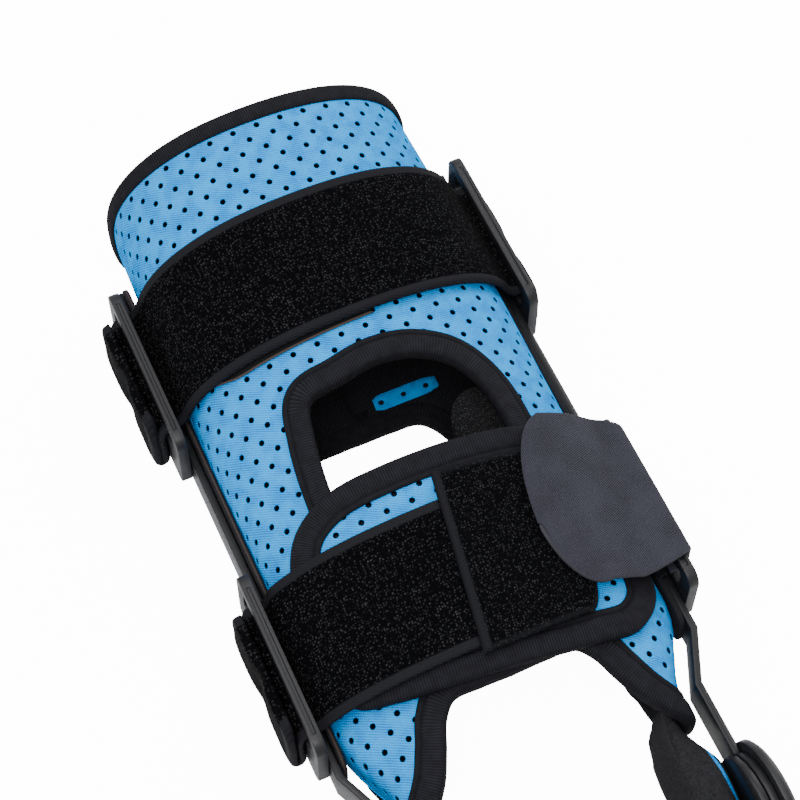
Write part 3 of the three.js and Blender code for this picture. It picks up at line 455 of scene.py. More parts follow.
class Shell:
    """Leg shell of one half, sampled once and then read between its samples."""

    def __init__(self, body, side, top, sections):
        self.body = body
        self.side = side
        self.stations = np.linspace(0, HALF_LENGTH, STATION_SAMPLES)
        shares = self.stations / HALF_LENGTH
        width = HALF_WIDTH * column(sections, "width", shares)[:, None]
        front = top * column(sections, "top", shares)[:, None]
        belt = top * column(sections, "belt", shares)[:, None]
        angle = np.linspace(0, pi, SECTION_SAMPLES + 1)
        ahead = np.cos(angle) >= 0
        power = np.where(ahead, 2 / FRONT_ROUND, 2 / BACK_ROUND)
        across = width * np.abs(np.sin(angle)) ** power
        rise = np.where(ahead, front - belt, -(belt + BACK_SAG))
        height = np.maximum(belt + rise * np.abs(np.cos(angle)) ** power, REST_HEIGHT)
        step = np.hypot(np.diff(across), np.diff(height))
        run = np.concatenate([np.zeros((len(shares), 1)), np.cumsum(step, axis=1)], axis=1)
        self.girth = run[:, -1]
        even = np.linspace(0, 1, SECTION_SAMPLES + 1)
        self.run = even * self.girth[:, None]
        self.x = np.array([np.interp(g, r, a) for g, r, a in zip(self.run, run, across)])
        self.z = np.array([np.interp(g, r, h) for g, r, h in zip(self.run, run, height)])
        n = NORMAL_REACH
        x = np.concatenate([-self.x[:, n:0:-1], self.x, -self.x[:, -2:-2 - n:-1]], axis=1)
        z = np.concatenate([self.z[:, n:0:-1], self.z, self.z[:, -2:-2 - n:-1]], axis=1)
        along_x = x[:, 2 * n:] - x[:, :-2 * n]
        along_z = z[:, 2 * n:] - z[:, :-2 * n]
        length = np.hypot(along_x, along_z)
        self.normal_x = -along_z / length
        self.normal_z = along_x / length

    def whole(self, station):
        """Distance from the middle of the front to the middle of the back."""
        return np.interp(station, self.stations, self.girth)

    def leave(self, station, share):
        """Girth at which the front reaches a share of the half width."""
        reached = np.argmax(self.x >= share * self.x.max(axis=1, keepdims=True), axis=1)
        girth = self.run[np.arange(len(reached)), reached]
        return np.interp(station, self.stations, girth)

    def at(self, girth, station, layer=0.0):
        """Places on the shell, one row of x, y and z for each."""
        girth, station, layer = np.broadcast_arrays(girth, station, layer)
        row = np.clip(station / HALF_LENGTH, 0, 1) * (STATION_SAMPLES - 1)
        low = np.minimum(row.astype(int), STATION_SAMPLES - 2)
        part = row - low
        share = (girth / self.whole(station) + 1) % 2 - 1
        sign = np.where(share < 0, -1.0, 1.0)
        place = np.abs(share) * SECTION_SAMPLES
        left = np.minimum(place.astype(int), SECTION_SAMPLES - 1)
        rest = place - left

        def read(table):
            near = table[low, left] * (1 - rest) + table[low, left + 1] * rest
            far = table[low + 1, left] * (1 - rest) + table[low + 1, left + 1] * rest
            return near * (1 - part) + far * part

        x = sign * (read(self.x) + read(self.normal_x) * layer)
        z = read(self.z) + read(self.normal_z) * layer
        return np.stack([x, self.side * station, z], axis=-1)


THIGH = Shell("thigh", 1, THIGH_TOP, THIGH_SECTIONS)
CALF = Shell("calf", -1, CALF_TOP, CALF_SECTIONS)
MIRROR = np.array([-1.0, 1.0])


def knee_line(shell, arch_top):
    """Edge above the knee on the +X side, from the middle of the front to that of the back."""
    bridge = BRIDGE_EDGE + (BRIDGE_TUCK if shell.side > 0 else 0)
    front = [(across * HALF_WIDTH, TAIL_END + rise * (bridge - TAIL_END))
             for across, rise in FRONT_ARCH]
    stations = [TAIL_END + rise * (arch_top - TAIL_END) for _, rise in BACK_ARCH]
    back = [(shell.whole(station) - across * BACK_ARCH_HALF, station)
            for (across, _), station in zip(BACK_ARCH, stations)]
    return smooth_line(front + back, OUTLINE_STEPS)


def closed_line(edge, centre, half, low, top):
    """Closed outline from a table of across and rise shares."""
    pairs = [(centre + across * half, low + rise * (top - low)) for across, rise in edge]
    return smooth_line(pairs, OUTLINE_STEPS, closed=True)


def window_line():
    """Outline of the window in the front of the thigh wrap."""
    return closed_line(WINDOW_EDGE, WINDOW_CENTRE, WINDOW_HALF, WINDOW_LOW, WINDOW_TOP)


def flap_line():
    """Outline of the flap that closes the front."""
    return closed_line(FLAP_EDGE, 0.0, FLAP_HALF, FLAP_LOW, FLAP_TOP)


def wrap_line(shell, arch_top, pitch):
    """Closed outline of a wrap laid flat, cut open at the middle of the back."""
    knee = knee_line(shell, arch_top)
    stations = np.append(np.arange(arch_top, RIM_END, pitch)[1:], RIM_END)
    seam = np.stack([shell.whole(stations), stations], axis=1)
    right = np.concatenate([knee, seam])
    return np.concatenate([right, right[::-1] * MIRROR])


def inside(points, line):
    """Which points lie inside a closed outline."""
    a = line
    b = np.roll(line, -1, axis=0)
    x = points[:, :1]
    y = points[:, 1:]
    crosses = (a[:, 1] > y) != (b[:, 1] > y)
    rise = np.where(a[:, 1] == b[:, 1], 1, b[:, 1] - a[:, 1])
    at = a[:, 0] + (y - a[:, 1]) * (b[:, 0] - a[:, 0]) / rise
    return (crosses & (x < at)).sum(axis=1) % 2 == 1


def nearest(points, lines):
    """The nearest point on any of some closed outlines, and its distance."""
    a = np.concatenate(lines)
    span = np.concatenate([np.roll(line, -1, axis=0) - line for line in lines])
    length = np.maximum((span**2).sum(axis=1), 1e-12)
    share = np.clip(((points[:, None] - a) * span).sum(axis=2) / length, 0, 1)
    on = a + share[..., None] * span
    distance = np.linalg.norm(points[:, None] - on, axis=2)
    best = distance.argmin(axis=1)
    rows = np.arange(len(points))
    return on[rows, best], distance[rows, best]


def ripple(u, v, seed):
    """Soft even unrest between -1 and 1 over places in metres."""
    return (np.sin(u * 61 + v * 37 + seed) + np.sin(u * 23 - v * 71 + 2.3 * seed)
            + np.sin(u * 113 + v * 97 + 4.1 * seed) * 0.5) / 2.5


# Meshes

def add_piece(name, points, faces, finishes, uv, face_finish, masks, body):
    """A closed mesh with its faces pointing out, smooth shading, and its layout as a UV map."""
    mesh = bpy.data.meshes.new(name)
    mesh.from_pydata(np.asarray(points).tolist(), [], [list(map(int, face)) for face in faces])
    for finish in finishes:
        mesh.materials.append(finish)
    if face_finish is not None:
        mesh.polygons.foreach_set("material_index", np.asarray(face_finish, np.int32))
    corners = np.zeros(len(mesh.loops), np.int32)
    mesh.loops.foreach_get("vertex_index", corners)
    layout = mesh.uv_layers.new(name="layout")
    layout.data.foreach_set("uv", np.asarray(uv, np.float32)[corners].ravel())
    for mask, values in (masks or {}).items():
        mesh.attributes.new(mask, "FLOAT", "POINT").data.foreach_set(
            "value", np.asarray(values, np.float32))
    mesh.polygons.foreach_set("use_smooth", np.ones(len(mesh.polygons), bool))
    shape = bmesh.new()
    shape.from_mesh(mesh)
    if shape.calc_volume(signed=True) < 0:
        bmesh.ops.reverse_faces(shape, faces=shape.faces)
    shape.to_mesh(mesh)
    shape.free()
    piece = bpy.data.objects.new(name, mesh)
    bpy.context.scene.collection.objects.link(piece)
    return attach(piece, body) or piece


def bricks_within(lines, origin, pitch):
    """Grid places and centres of the bricks that lie inside the first outline and outside the
    others."""
    low = lines[0].min(axis=0)
    high = lines[0].max(axis=0)
    first = np.floor((low - origin) / pitch).astype(int) - 1
    last = np.ceil((high - origin) / pitch).astype(int) + 1
    bricks = np.array([
        (i, k) for k in range(first[1], last[1]) for i in range(first[0], last[0])
        if (i + k) % 2 == 0])
    centre = origin + (bricks + (0, 0.5)) * pitch
    keep = inside(centre, lines[0])
    for line in lines[1:]:
        keep &= ~inside(centre, line)
    return bricks[keep], centre[keep]


def edges_of(loops):
    """Directed edges of loops of numbered corners."""
    edges = {}
    for loop in loops:
        for a, b in zip(loop, np.roll(loop, -1)):
            if a != b:
                edges[(int(a), int(b))] = True
    return edges


def snap_rim(flat, edges, shell, lines):
    """Moves the border points of the cloth onto its outlines, or onto the seam at the back."""
    rim = sorted({v for (a, b) in edges if (b, a) not in edges for v in (a, b)})
    rows = flat[rim]
    snapped = nearest(rows, lines)[0]
    whole = shell.whole(rows[:, 1])
    seam = np.abs(snapped[:, 0]) > shell.whole(snapped[:, 1]) - SEAM_REACH
    snapped[seam, 0] = np.sign(rows[seam, 0]) * whole[seam]
    snapped[seam, 1] = np.clip(rows[seam, 1], lines[0][:, 1].min(), RIM_END)
    flat[rim] = snapped


def brick_faces(bricks, hole, count, rings):
    """Faces of the bricks, with rings of points round each hole, and the number of the finish
    of each face: 0 outside, 1 inside. A hole has two sides for each corner of its brick."""
    faces = []
    finish = []

    def add(face, which=0):
        corners = [c for n, c in enumerate(face) if c != face[n - 1]]
        if len(set(corners)) == len(corners) > 2:
            faces.append(corners)
            finish.append(which)

    step = HOLE_SIDES * int(hole.sum())
    start = 2 * count
    for brick, pierced in zip(bricks.tolist(), hole):
        a, b, c, d, e, f = brick
        if pierced:
            ring = list(range(start, start + HOLE_SIDES))
            start += HOLE_SIDES
            corners = brick[3:] + brick[:3]
            for n, here in enumerate(corners):
                after = corners[n - 5]
                add([here, ring[2 * n - 10], ring[2 * n + 1]])
                add([here, after, ring[2 * n - 10]])
                add([after, ring[2 * n - 9], ring[2 * n - 10]])
            for turn in range(rings - 1):
                for j in range(HOLE_SIDES):
                    p = ring[j] + turn * step
                    q = ring[j + 1 - HOLE_SIDES] + turn * step
                    add([p, q, q + step, p + step])
            add([v + (rings - 1) * step for v in ring])
        else:
            add([a, b, e, f])
            add([b, c, d, e])
        add([f + count, e + count, b + count, a + count], 1)
        add([e + count, d + count, c + count, b + count], 1)
    edges = edges_of(bricks)
    for a, b in edges:
        if (b, a) not in edges:
            add([b, a, a + count, b + count])
    return faces, finish


def perforated(name, shell, lines, layer, wall, origin, finishes, knit, facing=1):
    """Knit cloth inside the first outline and outside the others. It is laid like bricks, each
    with a dimpled hole in its middle, and its edge follows the outlines."""
    spots, centre = bricks_within(lines, origin, knit.hole_pitch / 2)
    hole = nearest(centre, lines)[1] > knit.hole_radius * HOLE_CLEARANCE
    around = np.array([(-1, 0), (0, 0), (1, 0), (1, 1), (0, 1), (-1, 1)])
    grid, bricks = np.unique(
        (spots[:, None] + around).reshape(-1, 2), axis=0, return_inverse=True)
    bricks = bricks.reshape(-1, 6)
    flat = origin + grid * (knit.hole_pitch / 2)
    snap_rim(flat, edges_of(bricks), shell, lines)

    def lifted(places, height):
        base = layer - (0 if facing > 0 else wall)
        unrest = CLOTH_UNREST * ripple(places[:, 0], places[:, 1], 1.7)
        return shell.at(places[:, 0], places[:, 1], base + facing * (unrest + height))

    outer = lifted(flat, 0.0)
    keys = np.round(outer / WELD).astype(np.int64)
    _, lead, same = np.unique(keys, axis=0, return_index=True, return_inverse=True)
    bricks = lead[same.reshape(-1)][bricks]

    angles = np.arange(HOLE_SIDES) * radians(360 / HOLE_SIDES)
    circle = np.stack([np.cos(angles), np.sin(angles)], axis=1)
    # Rings round a hole: share of its radius, height and darkness. The darkness is painted shade on
    # the hole's rim and wall; on its floor it also stands for the black cloth seen through the hole.
    rings = [(1.75, 0.0, 0.0), (1.18, -0.45 * knit.dimple, 0.0), (1.0, -knit.dimple, 0.6),
             (0.86, -knit.hole_depth, 1.0)]
    points = [outer, lifted(flat, -wall)]
    layout = [flat, flat]
    pit = [np.zeros(2 * len(flat))]
    for radius, height, dark in rings:
        ring = (centre[hole][:, None] + circle * radius * knit.hole_radius).reshape(-1, 2)
        points.append(lifted(ring, height))
        layout.append(ring)
        pit.append(np.full(len(ring), dark))
    faces, finish = brick_faces(bricks, hole, len(flat), len(rings))
    return trimmed_piece(
        name, np.concatenate(points), faces, finishes, np.concatenate(layout), finish,
        {"pit": np.concatenate(pit)}, shell.body)


def trimmed_piece(name, points, faces, finishes, layout, finish, masks, body):
    """A piece without the points that no face uses."""
    used = np.unique(np.concatenate([np.array(face) for face in faces]))
    number = np.full(len(points), -1)
    number[used] = np.arange(len(used))
    return add_piece(
        name, points[used], [number[face] for face in faces], finishes, layout[used], finish,
        {mask: values[used] for mask, values in masks.items()}, body)


def grid_faces(rows, columns, closed=False):
    """Four-sided faces over a grid of numbered points, open or joined up both ways."""
    index = np.arange(rows * columns).reshape(rows, columns)
    if closed:
        index = np.concatenate([index, index[:1]])
        index = np.concatenate([index, index[:, :1]], axis=1)
    return np.stack(
        [index[:-1, :-1], index[1:, :-1], index[1:, 1:], index[:-1, 1:]], axis=-1).reshape(-1, 4)


# Binding tapes

def even_line(shell, line, around, step):
    """An outline at even steps, an even number of them, and the distance run at each."""
    turn = 2 * shell.whole(line[0, 1]) if around else 0.0
    closed = np.concatenate([line, line[:1] + (turn, 0)])
    run = np.concatenate([[0], np.cumsum(np.linalg.norm(
        np.diff(shell.at(closed[:, 0], closed[:, 1]), axis=0), axis=1))])
    at = np.linspace(0, run[-1], 2 * round(run[-1] / step / 2), endpoint=False)
    even = np.stack([np.interp(at, run, closed[:, k]) for k in (0, 1)], axis=1)
    whole = 2 * shell.whole(even[:, 1])
    even[:, 0] -= whole * np.round(even[:, 0] / whole)
    return even, at


def across_line(shell, line):
    """Unit direction towards the left of an outline at each of its points."""
    along = np.roll(line, -1, axis=0) - np.roll(line, 1, axis=0)
    whole = 2 * shell.whole(line[:, 1])
    along[:, 0] -= whole * np.round(along[:, 0] / whole)
    across = np.stack([-along[:, 1], along[:, 0]], axis=1)
    return across / np.linalg.norm(across, axis=1, keepdims=True)


def tape_profile(width, face, wall, stepped):
    """Section of a folded tape round a cloth edge: millimetres in from the edge, layer and the
    share of the rib height."""
    w = width / MM
    back = -wall / MM
    crown = [
        (w * 0.5, 1.52, 1.0), (0.6, 1.46, 1.0), (-0.65, 1.18, 1.0), (-1.3, 0.45, 1.0),
        (-1.38, back / 2, 1.0), (-1.3, back - 0.1, 1.0), (-0.8, back - 0.45, 1.0),
        (0.8, back - 0.6, 1.0),
    ]
    if stepped:
        toe = [
            (w, 0.05, 0), (w + 0.1, 0.5, 0), (w - 0.15, 0.86, 0), (w - 0.6, 1.02, 0),
            (w - 1.5, 1.0, 0), (w - 1.85, 0.8, 0), (w - 2.05, 0.42, 0), (w - 2.3, 0.95, 0.5),
            (w - 3.1, 1.36, 1.0),
        ]
        heel = [(w - 3.2, back - 0.55, 0.6), (w - 2.6, back - 0.3, 0), (w - 2.7, back - 0.03, 0)]
    else:
        toe = [(w, 0.05, 0), (w + 0.1, 0.5, 0.3), (w - 0.2, 1.0, 0.8), (w - 1.0, 1.4, 1.0)]
        heel = [(w - 0.6, back - 0.55, 0.6), (w, back - 0.3, 0), (w - 0.1, back - 0.03, 0)]
    inner = [(-0.3, back - 0.03, 0), (-0.3, 0.03, 0)]
    rows = np.array(toe + crown + heel + inner)
    rows[:, :2] *= MM
    rows[:, 1] += face
    return rows


def tape(name, shell, line, profile, around, inward, settings):
    """Ribbed binding tape carried along an edge. inward is 1 where the cloth lies left."""
    even, run = even_line(shell, line, around, settings.rib_pitch / 2)
    across = across_line(shell, even) * inward
    crest = (np.arange(len(even)) % 2)[:, None]
    distance = profile[:, 0] + TAPE_UNREST * ripple(run, run * 0.7, 3.1)[:, None]
    layer = profile[:, 1] - settings.rib_height * profile[:, 2] * (1 - crest)
    girth = even[:, :1] + across[:, :1] * distance
    station = even[:, 1:] + across[:, 1:] * distance
    points = shell.at(girth, station, layer)
    points[..., 2] = np.maximum(points[..., 2], 0.0)
    rows, columns = girth.shape
    uv = np.stack(np.broadcast_arrays(run[:, None], np.cumsum(np.concatenate(
        [[0], np.hypot(*np.diff(profile[:, :2], axis=0).T)]))), axis=-1)
    # Painted light and shade: crest rows get the lit colour, valley rows the shaded one, and the
    # tape's flat parts without ribs sit between at 0.35.
    mask = np.broadcast_to(crest * (profile[:, 2] > 0) + 0.35 * (profile[:, 2] == 0), girth.shape)
    piece = add_piece(
        name, points.reshape(-1, 3), grid_faces(rows, columns, True),
        [finish_of("binding")], uv.reshape(-1, 2), None, {"crest": mask.reshape(-1)},
        shell.body)
    return piece


def round_line(shell, arch_top):
    """The whole edge above the knee, its girth growing all the way round."""
    right = knee_line(shell, arch_top)
    left = right[-2:0:-1] * MIRROR
    left[:, 0] += 2 * shell.whole(left[:, 1])
    return np.concatenate([right, left])


def rim_line(shell):
    """Edge at the far end of a wrap."""
    girth = np.linspace(-1, 1, 96, endpoint=False) * shell.whole(HALF_LENGTH)
    return np.stack([girth, np.full_like(girth, RIM_END)], axis=1)


# Ribbons

def slab(name, places, top, low, uv, finish, masks, body):
    """A closed ribbon from a grid of mid-surface places with the height of both its faces."""
    rows, columns = top.shape
    along = np.gradient(places[..., [0, 2]], axis=0)
    length = np.maximum(np.linalg.norm(along, axis=-1), 1e-9)
    normal = np.stack([-along[..., 1] / length, np.zeros_like(length), along[..., 0] / length], -1)
    points = np.concatenate([
        (places + normal * top[..., None]).reshape(-1, 3),
        (places + normal * low[..., None]).reshape(-1, 3),
    ])
    points[:, 2] = np.maximum(points[:, 2], 0.0)
    count = rows * columns
    upper = grid_faces(rows, columns)
    index = np.arange(count).reshape(rows, columns)
    border = np.concatenate([index[0, :-1], index[:-1, -1], index[-1, :0:-1], index[:0:-1, 0]])
    after = np.roll(border, -1)
    wall = np.stack([border, after, after + count, border + count], axis=1)
    faces = np.concatenate([upper, upper[:, ::-1] + count, wall])
    masks = {mask: np.concatenate([np.broadcast_to(values, top.shape).reshape(-1)] * 2)
             for mask, values in masks.items()}
    return add_piece(
        name, points, faces, [finish_of(finish)], np.concatenate([uv.reshape(-1, 2)] * 2), None,
        masks, body)


# Distances of a ribbon's columns from its edge: close together where it turns over
EDGE_COLUMNS = np.array([0.0, 0.12, 0.4, 0.8, 1.4, 2.2, 3.0, 3.4, 3.8, 4.4, 5.6, 7.2]) * MM
MIDDLE_COLUMNS = 19
# Radius of a ribbon's rounded edge, as a share of its wall
EDGE_TURN = 0.42


def columns_for(half):
    """Places across a ribbon, as shares of its half width from -1 to 1."""
    low = EDGE_COLUMNS / half - 1
    middle = np.linspace(low[-1], -low[-1], MIDDLE_COLUMNS + 2)[1:-1]
    return np.concatenate([low, middle, -low[::-1]])


def edge_round(distance, radius):
    """Share of the full height at a distance from a rounded edge."""
    share = np.clip(distance / radius, 0, 1)
    return np.sqrt(1 - (1 - share) ** 2) * 0.9 + 0.1


def ribbon(name, shell, controls, wall, steps, relief, finish, masks=None, under=None):
    """A strap or tab. Each control has its middle station, half width and a place for stations;
    relief gives the height of the outer face from the runs along and from the edge."""
    across = columns_for(max(half for _, half, _ in controls))
    rows = []
    for middle, half, place in controls:
        station = middle + half * across
        flat = np.broadcast_to(place(station), (len(across), 2))
        rows.append(np.stack([flat[:, 0], shell.side * station, flat[:, 1]], axis=1))
    rows = np.array(rows)
    gauge = rows[:, len(across) // 2]
    places = smooth_line(rows, steps, gauge=gauge)
    halves = smooth_line(np.array([[half] for _, half, _ in controls]), steps, gauge=gauge)
    line = places[:, len(across) // 2]
    run = np.concatenate([[0], np.cumsum(np.linalg.norm(np.diff(line, axis=0), axis=1))])
    along = np.broadcast_to(run[:, None], places.shape[:2])
    side = halves * across
    slope = np.gradient(halves[:, 0], run)[:, None]
    from_edge = halves * (1 - np.abs(across)) / np.sqrt(1 + slope ** 2)
    from_end = np.minimum(along, run[-1] - along)
    near = np.minimum(from_edge, from_end)
    turn = edge_round(near, wall * EDGE_TURN)
    top = wall / 2 * turn * relief(along, side, from_edge, from_end)
    low = -wall / 2 * turn * (under(side, from_end) if under else 1)
    uv = np.stack([along, side], axis=-1)
    masks = {key: value(along, side, from_edge) for key, value in (masks or {}).items()}
    piece = slab(name, places, top, low, uv, finish, masks, shell.body)
    return piece, float(run[-1])


def on_leg(shell, share, layer):
    """Place at a share of the way from the middle of the front to where a strap leaves it."""
    def place(station):
        points = shell.at(share * shell.leave(station, LEAVE_SHARE), station, layer)
        return points[..., [0, 2]]
    return place


def fixed(x, z):
    """The same place across and in height for every station."""
    return lambda station: np.array([x, z])


def fold_way(out, pitch, low, top):
    """Way of a strap's end, across and height: out through the slot, down and back up."""
    return [
        (LOOP_INNER - STRAP_WALL, SLOT_MIDDLE + STRAP_WALL / 2),
        ((LOOP_INNER + LOOP_OUTER) / 2, SLOT_MIDDLE),
        (out - STRAP_WALL * 0.6, SLOT_MIDDLE - STRAP_WALL * 0.5),
        (out, SLOT_MIDDLE - FOLD_LIFT),
        (out, (SLOT_MIDDLE - FOLD_LIFT + low) / 2),
        (out, low),
        (out + pitch / 2, low - pitch * 0.6),
        (out + pitch, low),
        (out + pitch, low + STRAP_FOLD * 0.45),
        (out + pitch, (low + top) / 2 + FOLD_SLACK),
        (out + pitch * 0.8, top),
    ]


FOLD_LOW = SLOT_MIDDLE - FOLD_LIFT - STRAP_FOLD
LEFT_FOLD = fold_way(LOOP_OUTER + 1.9 * MM, 2.3 * MM, FOLD_LOW + 4 * MM, LOOP_TOP - 3 * MM)
RIGHT_FOLD = fold_way(LOOP_OUTER + 1.5 * MM, 2.0 * MM, FOLD_LOW, SLOT_MIDDLE - 7 * MM)


def fold_controls(side, middle):
    """Controls of a strap's folded end, narrower towards its tip."""
    way = LEFT_FOLD if side < 0 else RIGHT_FOLD
    half = STRAP_WIDTH / 2
    halves = [half] * (len(way) - 2) + [half - taper for taper in FOLD_TAPER]
    return [(middle, half, fixed(side * x, z)) for half, (x, z) in zip(halves, way)]


def leg_controls(shell, start, end, layer, middle_of, half, count):
    """Controls of a ribbon that lies on the leg between two shares of its front."""
    return [(middle_of(share), half, on_leg(shell, share, layer))
            for share in np.linspace(start, end, count)]


def patch_edge(station):
    """Girth of the patch's slanting left edge."""
    middle = LOWER_LOOP_AT + PATCH_SHIFT
    return PATCH_LEFT - PATCH_CUT + PATCH_SLANT * (station - middle) / PATCH_HALF


def short_of_patch(t, gap, start, layer):
    """Place on the way from a share of the front to the patch's edge."""
    def place(station):
        begin = start * THIGH.leave(station, LEAVE_SHARE)
        girth = begin + (patch_edge(station) + gap - begin) * t
        return THIGH.at(girth, station, layer)[..., [0, 2]]
    return place


def strap_relief(settings, rolled):
    """Outer face of a strap: raised pile between two bands, one of them rolled if asked."""
    def relief(along, side, from_edge, from_end):
        pile = np.clip((from_edge - settings.selvage) / PILE_RUN, 0, 1)
        pile = pile * pile * (3 - 2 * pile)
        height = SELVAGE_LEVEL + settings.pile_height / MM * pile
        height = height + PILE_UNREST * ripple(along, side, 5.3) * pile
        if rolled:
            share = np.clip(from_edge / settings.selvage, 0, 1)
            roll = ROLL_LEVEL + ROLL_LEVEL * np.sin(pi * share)
            height = np.where((side < 0) & (share < 1), roll, height)
        fold = np.clip((FOLD_RUN - from_end) / FOLD_RUN, 0, 1)
        swollen = 0.6 + 0.4 * ripple(side * 2, from_end * 2, 7.7)
        return height + FOLD_LEVEL * np.sqrt(fold) * swollen
    return relief


def folded_under(side, from_end):
    """Inner face of a strap: it swells where the strap is doubled outside its loop, less so in
    the middle of its width."""
    fold = np.clip((FOLD_RUN - from_end) / FOLD_RUN, 0, 1)
    waist = 1 - 0.8 * np.exp(-(side / UNDER_WAIST) ** 2)
    lumps = 0.3 * ripple(side * 1.5, from_end * 3, 9.1)
    rounded = edge_round(STRAP_WIDTH / 2 - np.abs(side), UNDER_ROUND)
    return 1 + np.sqrt(fold) * (1.6 * waist + lumps) * rounded


def band_mask(settings):
    """1 on the smooth bands along a strap's edges, 0 on its pile."""
    def mask(along, side, from_edge):
        return np.clip((settings.selvage - from_edge) / BAND_BLUR + 0.5, 0, 1)
    return mask


def whole_strap(name, shell, left, right, layer, settings, rolled=False):
    """Strap from loop to loop over the front."""
    def lean(share):
        return left + (right - left) * (share + 1) / 2
    controls = fold_controls(-1, left)[::-1]
    controls += leg_controls(shell, -1, 1, layer + STRAP_WALL / 2, lean, STRAP_WIDTH / 2, 23)
    controls += fold_controls(1, right)
    piece, length = ribbon(
        name + "_webbing", shell, controls, STRAP_WALL, 4, strap_relief(settings, rolled),
        "pile", {"band": band_mask(settings)}, folded_under)
    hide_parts(name)


def pad_on_shell(name, shell, line, centre, top_of, low_of, rings, finish):
    """Closed pad inside an outline, its layers given by the share of the way to the edge."""
    shares = np.linspace(0, 1, rings + 1)[1:]
    flat = np.array(centre) + (line - centre) * shares[:, None, None]
    share = np.broadcast_to(shares[:, None], flat.shape[:2])
    top = shell.at(flat[..., 0], flat[..., 1], top_of(share))
    low = shell.at(flat[..., 0], flat[..., 1], low_of(share))
    count = len(line)
    points = np.concatenate([
        [shell.at(centre[0], centre[1], top_of(0.0)), shell.at(centre[0], centre[1], low_of(0.0))],
        top.reshape(-1, 3), low.reshape(-1, 3)])
    layout = np.concatenate([[centre, centre], flat.reshape(-1, 2), flat.reshape(-1, 2)])
    upper = 2
    lower = 2 + rings * count
    faces = []
    for i in range(count):
        j = (i + 1) % count
        faces.append([0, upper + i, upper + j])
        faces.append([1, lower + j, lower + i])
        for ring in range(1, rings):
            a = (ring - 1) * count
            b = ring * count
            faces.append([upper + a + i, upper + b + i, upper + b + j, upper + a + j])
            faces.append([lower + a + j, lower + b + j, lower + b + i, lower + a + i])
        last = (rings - 1) * count
        faces.append([upper + last + i, lower + last + i, lower + last + j, upper + last + j])
    return add_piece(
        name, points, faces, [finish_of(finish)], layout, None, None, shell.body)


# Finishes

class Wiring:
    """Adds nodes to one tree and links them."""

    def __init__(self, tree):
        self.tree = tree

    def link(self, value, socket):
        self.tree.links.new(value, socket)

    def add(self, kind, wires=None, **settings):
        """A new node, its inputs linked to sockets or set to values."""
        node = self.tree.nodes.new(kind)
        for name, value in settings.items():
            setattr(node, name, value)
        for name, value in (wires or {}).items():
            if isinstance(value, bpy.types.NodeSocket):
                self.link(value, node.inputs[name])
            else:
                node.inputs[name].default_value = value
        return node

    def math(self, operation, *values):
        return self.add("ShaderNodeMath", dict(enumerate(values)), operation=operation).outputs[0]

    def weighed(self, first, share, second, rest):
        """The sum of two values, each times its own share."""
        return self.math("MULTIPLY_ADD", first, share, self.math("MULTIPLY", second, rest))

    def mix(self, factor, first, second):
        """Colour between two colours."""
        return self.add(
            "ShaderNodeMix", {0: factor, 6: first, 7: second}, data_type="RGBA").outputs[2]

    def smooth(self, value, low, high):
        """0 below low, 1 above high, a smooth step between them."""
        wires = {"Value": value, "From Min": low, "From Max": high}
        return self.add(
            "ShaderNodeMapRange", wires, interpolation_type="SMOOTHSTEP").outputs["Result"]

    def noise(self, vector, scale, detail=2.0):
        wires = {"Vector": vector, "Scale": scale, "Detail": detail}
        return self.add("ShaderNodeTexNoise", wires).outputs["Fac"]

    def attribute(self, name):
        return self.add("ShaderNodeAttribute", attribute_name=name).outputs["Fac"]

    def layout(self):
        return self.add("ShaderNodeUVMap", uv_map="layout").outputs["UV"]

    def place(self):
        return self.add("ShaderNodeTexCoord").outputs["Object"]

    def part(self, vector, axis):
        return self.add("ShaderNodeSeparateXYZ", {0: vector}).outputs[axis]

    def group(self, name, wires):
        """Outputs of one of the node groups."""
        return self.add("ShaderNodeGroup", wires, node_tree=effect_of(name)).outputs

    def ribs(self, vector, direction, wobble):
        wires = {"Vector": vector, "Direction": direction, "Wobble": wobble}
        return self.group("Fine Ribs", wires)["Height"]

    def shade(self, vector, scale):
        return self.group("Mottle", {"Vector": vector, "Scale": scale})["Shade"]


class Finish(Wiring):
    """A new material, its nodes wired to its shader."""

    def __init__(self, name, roughness, specular):
        self.material = bpy.data.materials.new(name)
        self.material.use_nodes = True
        super().__init__(self.material.node_tree)
        self.shader = self.tree.nodes["Principled BSDF"]
        self.shader.inputs["Roughness"].default_value = roughness
        self.shader.inputs["Specular IOR Level"].default_value = specular

    def done(self, tone, height, depth, rough=None):
        """Wires the colour, the roughness where it varies, and a bump of a depth in metres from
        a height between 0 and 1."""
        self.link(tone, self.shader.inputs["Base Color"])
        if rough is not None:
            self.link(rough, self.shader.inputs["Roughness"])
        bump = self.add("ShaderNodeBump", {"Height": height, "Distance": depth, "Strength": 1.0})
        self.link(bump.outputs["Normal"], self.shader.inputs["Normal"])
        return self.material


def colour(value, share=1.0):
    return (value[0] * share, value[1] * share, value[2] * share, 1.0)


def new_effect(name, inputs, outputs):
    """Wiring of an empty node group with its sockets, and its input and output nodes."""
    tree = bpy.data.node_groups.new(name, "ShaderNodeTree")
    for socket, kind in inputs:
        tree.interface.new_socket(name=socket, in_out="INPUT", socket_type="NodeSocket" + kind)
    for socket in outputs:
        tree.interface.new_socket(name=socket, in_out="OUTPUT", socket_type="NodeSocketFloat")
    wiring = Wiring(tree)
    given = wiring.add("NodeGroupInput").outputs
    result = wiring.add("NodeGroupOutput").inputs
    return wiring, given, result


